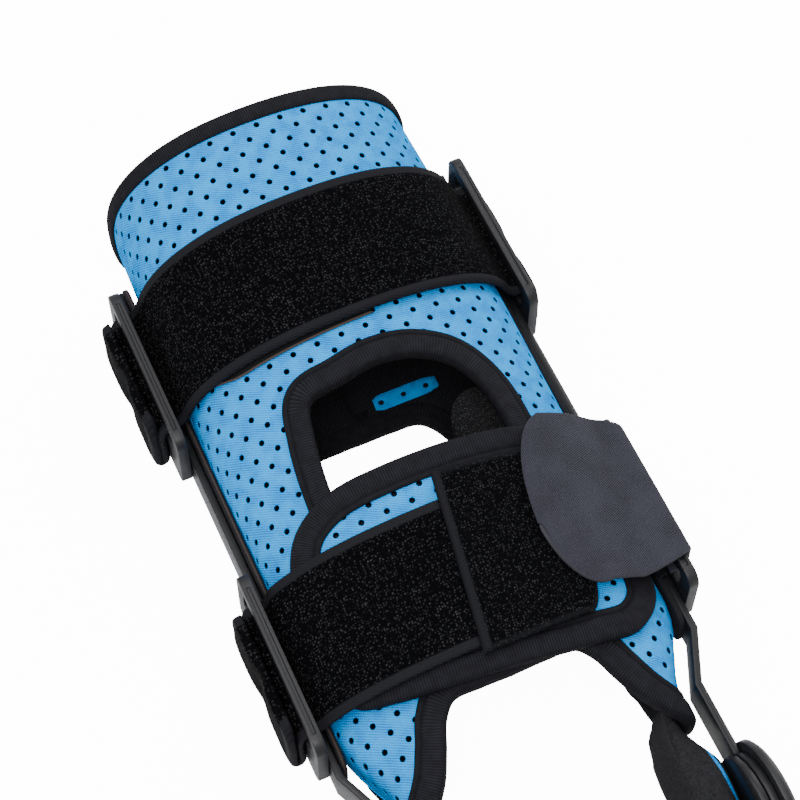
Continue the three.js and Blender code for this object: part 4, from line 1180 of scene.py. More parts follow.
def fine_ribs(name):
    """Wavy ribs across a direction, whose length is the number of ribs in a metre."""
    wiring, given, result = new_effect(
        name, [("Vector", "Vector"), ("Direction", "Vector"), ("Wobble", "Float")], ["Height"])
    dot = wiring.add(
        "ShaderNodeVectorMath", {0: given["Vector"], 1: given["Direction"]},
        operation="DOT_PRODUCT").outputs["Value"]
    unrest = wiring.noise(given["Vector"], 420.0)
    phase = wiring.math("MULTIPLY_ADD", unrest, given["Wobble"], dot)
    wave = wiring.math("SINE", wiring.math("MULTIPLY", phase, 2 * pi))
    wiring.link(wiring.math("MULTIPLY_ADD", wave, 0.5, 0.5), result["Height"])
    return wiring.tree


def loop_pile(name):
    """Small cloth loops, and the few whose tips catch the light."""
    wiring, given, result = new_effect(
        name, [("Vector", "Vector"), ("Loops", "Float")], ["Height", "Flecks"])
    cells = wiring.add("ShaderNodeTexVoronoi", {
        "Vector": given["Vector"], "Scale": given["Loops"], "Randomness": 0.6})
    near = wiring.smooth(cells.outputs["Distance"], 0.52, 0.14)
    chance = wiring.add("ShaderNodeSeparateColor", {0: cells.outputs["Color"]}).outputs[0]
    lit = wiring.math("MULTIPLY_ADD", chance, 0.75, 0.25)
    unrest = wiring.noise(given["Vector"], 90.0)
    wiring.link(wiring.math("MULTIPLY_ADD", unrest, 0.6, near), result["Height"])
    wiring.link(wiring.math("MULTIPLY", near, lit), result["Flecks"])
    return wiring.tree


def mottle(name):
    """Uneven shade from 0 to 1."""
    wiring, given, result = new_effect(
        name, [("Vector", "Vector"), ("Scale", "Float")], ["Shade"])
    coarse = wiring.noise(given["Vector"], given["Scale"], 4.0)
    wiring.link(wiring.smooth(coarse, 0.3, 0.7), result["Shade"])
    return wiring.tree


EFFECTS = {"Fine Ribs": fine_ribs, "Loop Pile": loop_pile, "Mottle": mottle}


def effect_of(name):
    return bpy.data.node_groups.get(name) or EFFECTS[name](name)


# Dark cloth: the colour between its threads and on top of them. On the lining and the backing these
# follow the woven ribs, so they are painted shade between the threads and painted light on top; the
# foam cloth and cushion pairs are mixed by random grain.
LINING_TONES = ((0.004, 0.004, 0.005, 1), (0.016, 0.016, 0.02, 1))
BACKING_TONES = ((0.001, 0.001, 0.001, 1), (0.003, 0.003, 0.004, 1))
FOAM_CLOTH_TONES = ((0.003, 0.003, 0.004, 1), (0.014, 0.014, 0.017, 1))
CUSHION_TONES = ((0.004, 0.004, 0.005, 1), (0.022, 0.022, 0.025, 1))
# Painted shade in the knit's holes; on their floors it also stands for the black cloth seen through
# them.
PIT_TONE = (0.002, 0.003, 0.005, 1)
TAB_RIM_TONE = (0.032, 0.032, 0.040, 1)


def knit_finish(name):
    """Blue knit with fine slanting ribs, painted lighter on top of its ribs and darker between them,
    with painted shade inside its holes.
    """
    knit = bpy.context.scene.brace_knit
    finish = Finish(name, 0.95, 0.0)
    layout = finish.layout()
    count = 1 / knit.rib_pitch
    slant = finish.ribs(layout, (count * 0.5, count * 0.87, 0), 0.6)
    cross = finish.ribs(layout, (-count * 0.9, count * 0.6, 0), 1.3)
    weave = finish.weighed(cross, 0.25, slant, 0.75)
    tone = finish.weighed(finish.shade(layout, 160.0), 0.35, weave, 0.65)
    lit = finish.smooth(tone, -0.05, 0.8)
    # Painted light and shade: deep blue between the ribs, blue on top of them, with random mottle
    # mixed in.
    cloth = finish.mix(lit, colour(knit.deep_blue), colour(knit.blue))
    # Painted shade in and round each hole, darkest on its floor, where the black cloth shows
    # through.
    pit = finish.smooth(finish.attribute("pit"), 0.1, 0.75)
    return finish.done(finish.mix(pit, cloth, PIT_TONE), weave, 0.12 * MM)


def lining_finish(name):
    """Plain black cloth on the inside of the wraps."""
    finish = Finish(name, 0.9, 0.1)
    weave = finish.ribs(finish.layout(), (700, 900, 0), 1.0)
    # Painted light and shade: lighter on top of the woven ribs, darker between them.
    return finish.done(finish.mix(weave, *LINING_TONES), weave, 0.1 * MM)


def binding_finish(name):
    """Binding tape with painted light on the crests of its ribs and painted shade between them."""
    settings = bpy.context.scene.brace_tape
    finish = Finish(name, 0.8, 0.12)
    layout = finish.layout()
    thread = finish.ribs(layout, (500, 2000, 0), 0.8)
    shade = finish.math("MULTIPLY_ADD", finish.shade(layout, 300.0), 0.5, 0.5)
    lit = finish.math("MULTIPLY", finish.attribute("crest"), shade)
    # Painted light and shade on the ribs: crests lighter, valleys darker.
    tone = finish.mix(lit, colour(settings.valley_shade), colour(settings.crest))
    return finish.done(tone, thread, 0.06 * MM)


def pile_colour(finish, layout, loops, fleck):
    """Height and colour of loop pile, with painted highlights on its loop tips."""
    straps = bpy.context.scene.brace_straps
    pile = finish.group("Loop Pile", {"Vector": layout, "Loops": loops})
    shade = finish.math("MULTIPLY_ADD", finish.shade(layout, 260.0), 0.35, 0.65)
    lit = finish.math("MULTIPLY", finish.math("MULTIPLY", pile["Flecks"], shade), fleck)
    return pile["Height"], finish.mix(lit, colour(straps.pile), colour(straps.fleck))


def banded_pile(finish, loops, fleck):
    """Height and colour of loop pile with smooth grey bands, and where the bands are."""
    grey = bpy.context.scene.brace_straps.band
    layout = finish.layout()
    pile, tone = pile_colour(finish, layout, loops, fleck)
    band = finish.attribute("band")
    ribs = finish.ribs(layout, (300, 1600, 0), 0.9)
    tone = finish.mix(band, tone, finish.mix(ribs, colour(grey, 0.6), colour(grey)))
    raised = finish.math("MULTIPLY", pile, finish.math("SUBTRACT", 1.0, band))
    height = finish.math("MULTIPLY_ADD", finish.math("MULTIPLY", ribs, 0.2), band, raised)
    return height, tone, band


def pile_finish(name):
    """Loop pile of the straps, with a band along both edges."""
    finish = Finish(name, 0.9, 0.04)
    height, tone, band = banded_pile(finish, 1080.0, 0.45)
    rough = finish.math("MULTIPLY_ADD", band, -0.25, 0.9)
    return finish.done(tone, height, 0.35 * MM, rough)


def patch_finish(name):
    """Loop pile of the patch, with its raised band."""
    finish = Finish(name, 0.92, 0.05)
    height, tone, _ = banded_pile(finish, 1150.0, 0.42)
    return finish.done(tone, height, 0.3 * MM)


def fuzzy_finish(name):
    """Fine loop pile of the pad in the window."""
    finish = Finish(name, 0.92, 0.15)
    height, tone = pile_colour(finish, finish.layout(), 1500.0, 0.6)
    return finish.done(tone, height, 0.4 * MM)


def backing_finish(name):
    """Thin black ply, cut along its lower edge."""
    cut_edge = bpy.context.scene.brace_straps.cut_edge
    finish = Finish(name, 0.85, 0.2)
    layout = finish.layout()
    weave = finish.ribs(layout, (800, 500, 0), 0.6)
    lower = -STRAP_WIDTH / 2
    edge = finish.smooth(finish.part(layout, "Y"), lower + 0.6 * MM, lower + 0.4 * MM)
    # The weave gives painted shade between the threads and painted light on top of them.
    tone = finish.mix(edge, finish.mix(weave, *BACKING_TONES), colour(cut_edge))
    return finish.done(tone, weave, 0.08 * MM)


def tab_finish(name):
    """Grey twill of the hook tab, paler along its edge."""
    grey = bpy.context.scene.brace_straps.tab
    finish = Finish(name, 0.7, 0.2)
    layout = finish.layout()
    twill = finish.ribs(layout, (900, -1500, 0), 1.2)
    weave = finish.weighed(finish.noise(layout, 1400.0, 3.0), 0.5, twill, 0.6)
    tone = finish.math("MULTIPLY_ADD", finish.shade(layout, 70.0), 0.2, weave)
    cloth = finish.mix(finish.smooth(tone, 0.2, 1.0), colour(grey, 0.22), colour(grey, 1.9))
    # The tab's colour turns paler along its edge.
    pale_edge = finish.mix(finish.attribute("rim"), cloth, TAB_RIM_TONE)
    return finish.done(pale_edge, weave, 0.16 * MM)


def metal_finish(name):
    """Dark satin metal of the uprights."""
    bar = bpy.context.scene.brace_hardware.bar
    finish = Finish(name, 0.42, 0.3)
    place = finish.place()
    grain = finish.noise(place, 1900.0)
    tone = finish.weighed(grain, 0.4, finish.shade(place, 55.0), 0.6)
    rough = finish.math("MULTIPLY_ADD", tone, 0.22, 0.3)
    satin = finish.mix(tone, colour(bar, 0.6), colour(bar))
    return finish.done(satin, grain, 0.03 * MM, rough)


def plastic_finish(name):
    """Black satin plastic of the loops and hinge covers."""
    plastic = bpy.context.scene.brace_hardware.plastic
    finish = Finish(name, 0.45, 0.35)
    place = finish.place()
    shade = finish.shade(place, 80.0)
    rough = finish.math("MULTIPLY_ADD", shade, 0.14, 0.4)
    satin = finish.mix(shade, colour(plastic, 0.7), colour(plastic))
    return finish.done(satin, finish.noise(place, 2600.0), 0.05 * MM, rough)


def foam_finish(name):
    """Black cloth on both faces of a thin foam core, which shows at the cut edge."""
    cut_edge = bpy.context.scene.brace_straps.cut_edge
    finish = Finish(name, 0.88, 0.2)
    place = finish.place()
    across = finish.part(place, "X")
    low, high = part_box("thigh_pad_right")
    off = finish.math("SUBTRACT", finish.math("ABSOLUTE", across), (low.x + high.x) / 2)
    inside_wall = finish.smooth(finish.math("ABSOLUTE", off), 0.4 * MM, 0.25 * MM)
    core = finish.math("MULTIPLY", inside_wall, finish.math("LESS_THAN", across, 0.0))
    grain = finish.noise(place, 1500.0, 3.0)
    foam = finish.mix(grain, colour(cut_edge, 0.55), colour(cut_edge))
    tone = finish.mix(core, finish.mix(grain, *FOAM_CLOTH_TONES), foam)
    return finish.done(tone, grain, 0.2 * MM)


def cushion_finish(name):
    """Black brushed cloth with a thin blue edge against the hinge plate."""
    knit = bpy.context.scene.brace_knit
    finish = Finish(name, 0.9, 0.15)
    place = finish.place()
    x = finish.math("ABSOLUTE", finish.part(place, "X"))
    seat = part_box("knee_pad_right")[1].x
    edge = finish.math(
        "MULTIPLY", finish.smooth(x, seat - 2.9 * MM, seat - 2.7 * MM),
        finish.smooth(x, seat - 1.5 * MM, seat - 1.7 * MM))
    grain = finish.noise(place, 1100.0, 3.0)
    blue = finish.mix(grain, colour(knit.deep_blue), colour(knit.blue))
    tone = finish.mix(edge, finish.mix(grain, *CUSHION_TONES), blue)
    pile = finish.group("Loop Pile", {"Vector": place, "Loops": 1300.0})
    return finish.done(tone, pile["Height"], 0.25 * MM)


def floor_finish(name):
    """Pale floor that looks white to the camera."""
    stage = bpy.context.scene.brace_stage
    finish = Finish(name, 0.6, 0.2)
    finish.shader.inputs["Base Color"].default_value = colour(stage.floor_colour)
    finish.shader.inputs["Emission Color"].default_value = (1, 1, 1, 1)
    seen = finish.add("ShaderNodeLightPath").outputs["Is Camera Ray"]
    glow = finish.math("MULTIPLY", seen, stage.floor_glow)
    finish.link(glow, finish.shader.inputs["Emission Strength"])
    return finish.material


FINISHES = {
    "knit": knit_finish, "lining": lining_finish, "binding": binding_finish, "pile": pile_finish,
    "patch": patch_finish, "fuzzy": fuzzy_finish, "backing": backing_finish, "tab": tab_finish,
    "metal": metal_finish, "plastic": plastic_finish, "foam": foam_finish,
    "cushion": cushion_finish, "floor": floor_finish,
}


def finish_of(name):
    """The finish of that name, made when it is first asked for."""
    full = "brace_" + name
    return bpy.data.materials.get(full) or FINISHES[name](full)


# Hard pieces, modelled with operators

def select_only(piece):
    """Makes a piece the active one and the only selected one."""
    bpy.ops.object.select_all(action="DESELECT")
    piece.select_set(True)
    bpy.context.view_layer.objects.active = piece


def add_block(name, low, high):
    """A box between two corners, alone in the selection."""
    bpy.ops.object.select_all(action="DESELECT")
    size = [b - a for a, b in zip(low, high)]
    middle = [(a + b) / 2 for a, b in zip(low, high)]
    bpy.ops.mesh.primitive_cube_add(size=1, location=middle, scale=size)
    bpy.ops.object.transform_apply(location=True, rotation=True, scale=True)
    block = bpy.context.active_object
    block.name = name
    block.data.name = name
    return block


def own_copy(node, name):
    """A copy of a node's solid with a mesh of its own."""
    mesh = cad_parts[node].data.copy()
    mesh.name = name
    piece = bpy.data.objects.new(name, mesh)
    bpy.context.scene.collection.objects.link(piece)
    return piece


def pick(piece, kind, test):
    """Selects the faces or edges of the piece in edit mode that pass a test."""
    bpy.ops.mesh.select_mode(type=kind)
    bpy.ops.mesh.select_all(action="DESELECT")
    shape = bmesh.from_edit_mesh(piece.data)
    for part in shape.faces if kind == "FACE" else shape.edges:
        if test(part):
            part.select_set(True)
    bmesh.update_edit_mesh(piece.data)


def runs_across(edge):
    """Whether an edge runs along X."""
    span = edge.verts[1].co - edge.verts[0].co
    return abs(span.x) > 0.99 * span.length


def round_corners(piece, radius, segments):
    """Rounds a block's four edges along X."""
    bpy.ops.object.mode_set(mode="EDIT")
    pick(piece, "EDGE", runs_across)
    bpy.ops.mesh.bevel(offset=radius, segments=segments, affect="EDGES")
    bpy.ops.object.mode_set(mode="OBJECT")


def modify(piece, kind, **settings):
    """Applies a modifier to the active piece."""
    modifier = piece.modifiers.new(kind.title(), kind)
    for name, value in settings.items():
        setattr(modifier, name, value)
    bpy.ops.object.modifier_apply(modifier=modifier.name)


def soften(piece, radius, segments=3, angle=30):
    """Rounds the sharp edges with a bevel modifier, applied, and shades the piece."""
    bpy.context.view_layer.objects.active = piece
    modify(piece, "BEVEL", width=radius, segments=segments, limit_method="ANGLE",
           angle_limit=radians(angle))
    bpy.ops.object.shade_smooth_by_angle(angle=radians(35))


def settle(piece, finish, body, node):
    """Gives a hard piece its finish and its body, and hides the node it stands for."""
    piece.data.materials.clear()
    piece.data.materials.append(finish_of(finish))
    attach(piece, body)
    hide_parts(node)


def loop_at(name, radius):
    """Flat strap loop: a plate with rounded corners, a groove in its top and a slot."""
    low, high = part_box(name)
    loop = add_block(name + "_moulded", low, high)
    round_corners(loop, LOOP_CORNER, 8)
    bpy.ops.object.mode_set(mode="EDIT")
    pick(loop, "FACE", lambda face: face.normal.z > 0.9999)
    bpy.ops.mesh.inset(thickness=GROOVE_INSET, depth=0)
    bpy.ops.mesh.inset(thickness=GROOVE_SLOPE, depth=-GROOVE_DEPTH)
    bpy.ops.object.mode_set(mode="OBJECT")
    cutter = add_block(
        "slot_cutter", (low.x - CUT_PAST, low.y + LOOP_POST, SLOT_TOP - SLOT_HEIGHT),
        (high.x + CUT_PAST, high.y - LOOP_POST, SLOT_TOP))
    round_corners(cutter, SLOT_CORNER, 4)
    select_only(loop)
    modify(loop, "BOOLEAN", object=cutter, operation="DIFFERENCE")
    bpy.data.objects.remove(cutter)
    soften(loop, radius, 3, 25)
    return loop


def copy_of(piece, name, move=(0, 0, 0), half_turn=False):
    """A copy with a mesh of its own, moved or turned half round about the upright axis."""
    select_only(piece)
    bpy.ops.object.duplicate()
    copy = bpy.context.active_object
    copy.name = name
    copy.data.name = name
    copy.parent = None
    if half_turn:
        copy.rotation_euler[2] = pi
    copy.location = move
    bpy.ops.object.transform_apply(location=True, rotation=True, scale=True)
    return copy


def bar_from(node, name, radius):
    """The node's bar with its flat faces joined and its edges rounded."""
    bar = own_copy(node, name)
    select_only(bar)
    bpy.ops.object.mode_set(mode="EDIT")
    bpy.ops.mesh.select_all(action="SELECT")
    bpy.ops.mesh.remove_doubles(threshold=WELD)
    bpy.ops.mesh.dissolve_limited(angle_limit=radians(1))
    bpy.ops.object.mode_set(mode="OBJECT")
    soften(bar, radius, 2, 30)
    return bar


def domed_cover(name):
    """Round hinge cover: a dome in steps with a raised ring and a dished middle."""
    low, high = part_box("hinge_cover_right")
    radius = (high.y - low.y) / 2
    wall = high.x - low.x
    bpy.ops.object.select_all(action="DESELECT")
    bpy.ops.mesh.primitive_cylinder_add(
        vertices=72, radius=radius, depth=wall * 0.4,
        location=(low.x + wall * 0.2, 0, HINGE_HEIGHT), rotation=(0, pi / 2, 0))
    bpy.ops.object.transform_apply(location=True, rotation=True, scale=True)
    cover = bpy.context.active_object
    cover.name = name
    cover.data.name = name
    bpy.ops.object.mode_set(mode="EDIT")
    pick(cover, "FACE", lambda face: face.normal.x > 0.9 and len(face.verts) > 4)
    for inward, rise in COVER_STEPS:
        bpy.ops.mesh.inset(thickness=inward * radius, depth=rise * wall)
    bpy.ops.object.mode_set(mode="OBJECT")
    soften(cover, COVER_ROUND, 2, 24)
    return cover


def swell(piece, voxel, pressure, cap):
    """Fills a closed pad by a cloth simulation and keeps each point within a cap."""
    select_only(piece)
    modify(piece, "REMESH", mode="VOXEL", voxel_size=voxel)
    rest = np.zeros(len(piece.data.vertices) * 3)
    piece.data.vertices.foreach_get("co", rest)
    cloth = piece.modifiers.new("Cloth", "CLOTH")
    cloth.settings.use_pressure = True
    cloth.settings.uniform_pressure_force = pressure
    cloth.settings.effector_weights.gravity = 0
    scene = bpy.context.scene
    for number in range(1, SWELL_FRAMES + 1):
        scene.frame_set(number)
    bpy.ops.object.modifier_apply(modifier=cloth.name)
    scene.frame_set(1)
    moved = np.zeros_like(rest)
    piece.data.vertices.foreach_get("co", moved)
    shift = (moved - rest).reshape(-1, 3)
    length = np.maximum(np.linalg.norm(shift, axis=1, keepdims=True), 1e-9)
    shift *= np.minimum(length, cap) / length
    piece.data.vertices.foreach_set("co", rest + shift.reshape(-1))
    modify(piece, "SMOOTH", factor=0.5, iterations=10)
    modify(piece, "SUBSURF", levels=1, render_levels=1)
    piece.data.polygons.foreach_set("use_smooth", np.ones(len(piece.data.polygons), bool))
    piece.data.update()


# Operators

class BRACE_OT_wraps(bpy.types.Operator):
    """Perforated knit wraps of the thigh and the calf"""
    bl_idname = "brace.wraps"
    bl_label = "Wraps"

    def execute(self, context):
        knit = context.scene.brace_knit
        pitch = knit.hole_pitch / 2
        origin = np.array([0.0, RIM_END - ROWS_TO_RIM * pitch])
        finishes = [finish_of("knit"), finish_of("lining")]
        thigh_lines = [wrap_line(THIGH, THIGH_ARCH_TOP, pitch), window_line()]
        calf_lines = [wrap_line(CALF, CALF_ARCH_TOP, pitch)]
        for half, shell, lines in (("thigh", THIGH, thigh_lines), ("calf", CALF, calf_lines)):
            piece = perforated(
                half + "_wrap", shell, lines, 0.0, WRAP_WALL, origin, finishes, knit)
            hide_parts(half + "_liner")
        return {"FINISHED"}


class BRACE_OT_flap(bpy.types.Operator):
    """Perforated flap that closes the front above the knee"""
    bl_idname = "brace.flap"
    bl_label = "Flap"

    def execute(self, context):
        knit = context.scene.brace_knit
        origin = np.array([FLAP_HOLES_AT, FLAP_LOW])
        flap = perforated(
            "front_flap", THIGH, [flap_line()], FLAP_FACE, FLAP_WALL, origin,
            [finish_of("knit"), finish_of("lining")], knit)
        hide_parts("thigh_flap")
        return {"FINISHED"}


class BRACE_OT_bindings(bpy.types.Operator):
    """Ribbed binding tapes round every cut edge"""
    bl_idname = "brace.bindings"
    bl_label = "Binding tapes"

    def execute(self, context):
        settings = context.scene.brace_tape
        wide = tape_profile(TAPE_WIDTH, 0.0, WRAP_WALL, True)
        slim = tape_profile(WINDOW_TAPE_WIDTH, 0.0, WRAP_WALL, True)
        narrow = tape_profile(RIM_TAPE_WIDTH, 0.0, WRAP_WALL, False)
        over_flap = tape_profile(TAPE_WIDTH, FLAP_FACE, FLAP_WALL, True)
        thigh_knee = round_line(THIGH, THIGH_ARCH_TOP)
        calf_knee = round_line(CALF, CALF_ARCH_TOP)
        tapes = [
            ("thigh_rim_tape", "thigh_rim_binding", THIGH, rim_line(THIGH), narrow, True, -1),
            ("calf_rim_tape", "calf_rim_binding", CALF, rim_line(CALF), narrow, True, -1),
            ("thigh_knee_tape", "thigh_knee_binding", THIGH, thigh_knee, wide, True, 1),
            ("calf_knee_tape", "calf_knee_binding", CALF, calf_knee, wide, True, 1),
            ("window_tape", "window_binding", THIGH, window_line(), slim, False, -1),
            ("flap_tape", "flap_binding", THIGH, flap_line(), over_flap, False, 1),
        ]
        for name, node, shell, line, profile, around, inward in tapes:
            piece = tape(name, shell, line, profile, around, inward, settings)
            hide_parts(node)
        return {"FINISHED"}


class BRACE_OT_straps(bpy.types.Operator):
    """Loop pile straps from loop to loop, and the thin backing under the upper one"""
    bl_idname = "brace.straps"
    bl_label = "Straps"

    def execute(self, context):
        settings = context.scene.brace_straps
        whole_strap(
            "thigh_upper_strap", THIGH, UPPER_LOOP_AT + UPPER_STRAP_RISE,
            UPPER_LOOP_AT + RIGHT_LOOP_SHIFT - UPPER_STRAP_DROP, UPPER_STRAP_LAYER, settings,
            rolled=True)
        for name, at in (("calf_lower_strap", UPPER_LOOP_AT), ("calf_upper_strap", LOWER_LOOP_AT)):
            whole_strap(name, CALF, at, at, CALF_STRAP_LAYER, settings)
        self.backing()
        self.lower_strap(settings)
        return {"FINISHED"}

    def backing(self):
        """Thin ply that shows under the upper strap's lower edge."""
        def middle(share):
            tucked = BACKING_TUCK * np.clip((-share - 0.7) / 0.2, 0, 1)
            return UPPER_LOOP_AT - BACKING_DROP + tucked + RIGHT_LOOP_SHIFT * (share + 1) / 2

        controls = leg_controls(
            THIGH, -0.99, 1 / 7, TAPE_GAP + BACKING_WALL / 2, middle, STRAP_WIDTH / 2, 18)
        piece, length = ribbon(
            "upper_strap_ply", THIGH, controls, BACKING_WALL, 4,
            lambda along, side, from_edge, from_end: 1.0, "backing")
        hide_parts("upper_strap_backing")

    def lower_strap(self, settings):
        """Strap from the left loop to the patch."""
        controls = fold_controls(-1, LOWER_LOOP_AT)[::-1]
        for t in np.linspace(0, 1, 14):
            place = short_of_patch(t, EDGE_GAP, -1.0, LOWER_STRAP_LAYER + STRAP_WALL / 2)
            controls.append((LOWER_LOOP_AT, STRAP_WIDTH / 2, place))
        piece, length = ribbon(
            "thigh_lower_strap_webbing", THIGH, controls, STRAP_WALL, 4,
            strap_relief(settings, False), "pile", {"band": band_mask(settings)},
            folded_under)
        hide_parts("thigh_lower_strap")


class BRACE_OT_closure(bpy.types.Operator):
    """Pile patch with its raised edge, and the hook tab folded round the right loop"""
    bl_idname = "brace.closure"
    bl_label = "Patch and tab"

    def execute(self, context):
        self.patch()
        self.tab()
        return {"FINISHED"}

    def patch(self):
        """Pile patch from the middle of the front to the right loop."""
        right = LOWER_LOOP_AT + RIGHT_LOOP_SHIFT
        controls = []
        for share in np.linspace(0, 1, 25):
            top = right + STRAP_WIDTH / 2 + PATCH_RISE * (1 - share)
            lifted = np.clip((share - PATCH_LIFT_AT) / PATCH_LIFT_RUN, 0, 1)
            low = PATCH_LOW + (right - STRAP_WIDTH / 2 + PATCH_LIFT - PATCH_LOW) * lifted
            place = short_of_patch(1 - share, 0.0, 1.0, LOWER_STRAP_LAYER + PATCH_WALL / 2)
            controls.append(((top + low) / 2, (top - low) / 2, place))
        end = LOOP_INNER - PATCH_WALL
        controls.append((
            right, STRAP_WIDTH / 2, fixed(end - PATCH_WALL, SLOT_MIDDLE + PATCH_WALL / 2)))
        controls.append((right, STRAP_WIDTH / 2, fixed(end, SLOT_MIDDLE)))

        def relief(along, side, from_edge, from_end):
            band = np.clip((PATCH_BAND - along) / (0.5 * MM) + 0.5, 0, 1)
            share = np.clip(along / PATCH_BAND, 0, 1)
            return 0.9 + band * 0.5 * np.sin(pi * share) + 0.08 * ripple(along, side, 2.2)

        def band(along, side, from_edge):
            left = np.clip((PATCH_BAND - along) / BAND_BLUR + 0.5, 0, 1)
            rim = np.clip((PATCH_RIM - from_edge) / PATCH_RIM_BLUR + 0.5, 0, 1) * 0.55
            return np.maximum(left, rim)

        piece, length = ribbon(
            "pile_patch", THIGH, controls, PATCH_WALL, 6, relief, "patch",
            {"band": band})
        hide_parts("loop_patch")

    def tab(self):
        """Hook tab that lies on the patch and goes round the right loop."""
        leave = THIGH.leave(LOWER_LOOP_AT, LEAVE_SHARE)
        right = LOWER_LOOP_AT + RIGHT_LOOP_SHIFT
        controls = []
        tip = TAB_TIP / leave
        round_end = tip + (TAB_LEAVE - tip) * TAB_ROUND
        for t in np.linspace(0, 1, 22):
            share = tip + (round_end - tip) * (1 - np.cos(pi / 2 * t))
            half = max(TAB_HALF * np.sin(pi / 2 * t), TAB_BLUNT)
            place = on_leg(THIGH, share, TAB_LAYER + TAB_WALL / 2)
            controls.append((right + TAB_SHIFT * (0.75 * t), half, place))
        for t in np.linspace(0, 1, 8)[1:]:
            share = round_end + (TAB_LEAVE - round_end) * t
            place = on_leg(THIGH, share, TAB_LAYER + TAB_WALL / 2)
            controls.append((right + TAB_SHIFT * (0.75 - t / 4), TAB_HALF, place))
        gap = TAB_FOLD_GAP + TAB_WALL / 2
        way = [
            (LOOP_INNER - 3 * MM, LOOP_TOP + gap + 1 * MM),
            ((LOOP_INNER + LOOP_OUTER) / 2, LOOP_TOP + gap + 0.3 * MM),
            (LOOP_OUTER + gap * 0.8, LOOP_TOP + gap * 0.3),
            (LOOP_OUTER + gap, LOOP_TOP - LOOP_RAIL * 0.5),
            (LOOP_OUTER + gap * 0.6, SLOT_TOP - gap),
            ((LOOP_INNER + LOOP_OUTER) / 2, SLOT_MIDDLE),
            (LOOP_INNER - PATCH_WALL + 0.9 * MM, SLOT_MIDDLE),
        ]
        for i, (x, z) in enumerate(way):
            fade = (i + 1) / len(way)
            half = TAB_HALF + (STRAP_WIDTH / 2 - TAB_HALF) * min(1, fade * 2)
            controls.append((right + TAB_SHIFT / 2 * (1 - fade), half, fixed(x, z)))

        def relief(along, side, from_edge, from_end):
            return 1.0 + 0.06 * ripple(along, side, 0.4)

        def rim(along, side, from_edge):
            return np.clip((TAB_PALE_EDGE - np.minimum(from_edge, along)) / TAB_PALE_EDGE_BLUR, 0, 1)

        piece, length = ribbon(
            "hook_tab_folded", THIGH, controls, TAB_WALL, 4, relief, "tab",
            {"rim": rim})
        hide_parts("hook_tab")


class BRACE_OT_window(bpy.types.Operator):
    """Fuzzy pad and the blue strip of the inner face that show through the window"""
    bl_idname = "brace.window"
    bl_label = "Window details"

    def execute(self, context):
        low = HOOK_PAD_TOP - HOOK_PAD_HEIGHT
        centre = ((HOOK_PAD_LEFT + HOOK_PAD_RIGHT) / 2, low + HOOK_PAD_HEIGHT / 2)
        line = closed_line(
            HOOK_PAD_EDGE, HOOK_PAD_LEFT, HOOK_PAD_RIGHT - HOOK_PAD_LEFT, low, HOOK_PAD_TOP)
        middle = INNER_LAYER - HOOK_PAD_WALL / 2

        def bulge(share):
            return HOOK_PAD_WALL / 2 * np.sqrt(1 - 0.98 * share**8)

        pad = pad_on_shell(
            "window_pad", THIGH, line, centre, lambda share: middle + bulge(share),
            lambda share: middle - bulge(share), 14, "fuzzy")
        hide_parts("inner_hook_pad")

        knit = context.scene.brace_knit
        whole = THIGH.whole(BACK_STRIP_LOW)
        begin = whole - BACK_STRIP_FAR
        end = whole - BACK_STRIP_NEAR
        strip_line = np.array([
            (begin, BACK_STRIP_LOW), (end, BACK_STRIP_LOW), (end, BACK_STRIP_TOP),
            (begin, BACK_STRIP_TOP)])
        middle = (BACK_STRIP_LOW + BACK_STRIP_TOP - knit.hole_pitch / 2) / 2
        origin = np.array([begin + knit.hole_pitch / 2, middle])
        strip = perforated(
            "inner_strip", THIGH, [strip_line], -WRAP_WALL - BACK_STRIP_GAP, BACK_STRIP_WALL, origin,
            [finish_of("knit"), finish_of("lining")], knit, facing=-1)
        return {"FINISHED"}


class BRACE_OT_side_pads(bpy.types.Operator):
    """Thin foam pads between the uprights and the wraps"""
    bl_idname = "brace.side_pads"
    bl_label = "Side pads"

    def execute(self, context):
        for half, side in product(HALVES, SIDES):
            node = f"{half}_pad_{side}"
            pad = add_block(f"{half}_side_pad_{side}", *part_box(node))
            round_corners(pad, SIDE_PAD_CORNER, 6)
            soften(pad, SIDE_PAD_ROUND, 2)
            settle(pad, "foam", half, node)
        return {"FINISHED"}


class BRACE_OT_uprights(bpy.types.Operator):
    """Flat uprights with rounded edges"""
    bl_idname = "brace.uprights"
    bl_label = "Uprights"

    def execute(self, context):
        radius = context.scene.brace_hardware.edge_round
        for half, side in product(HALVES, SIDES):
            node = f"{half}_upright_{side}"
            bar = bar_from(node, f"{half}_bar_{side}", radius * 0.7)
            settle(bar, "metal", half, node)
        return {"FINISHED"}


class BRACE_OT_loops(bpy.types.Operator):
    """Moulded strap loops"""
    bl_idname = "brace.loops"
    bl_label = "Strap loops"

    def execute(self, context):
        pattern = loop_at(FIRST_LOOP, context.scene.brace_hardware.edge_round)
        low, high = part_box(FIRST_LOOP)
        made = [(pattern, FIRST_LOOP)]
        for half, level, side in product(HALVES, ("upper", "lower"), SIDES):
            node = f"{half}_{level}_loop_{side}"
            if node == FIRST_LOOP:
                continue
            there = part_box(node)[0]
            left = side == "left"
            move = (0, there.y + high.y, 0) if left else (there.x - low.x, there.y - low.y, 0)
            made.append((copy_of(pattern, node + "_moulded", move, left), node))
        for piece, node in made:
            settle(piece, "plastic", node.split("_")[0], node)
        return {"FINISHED"}


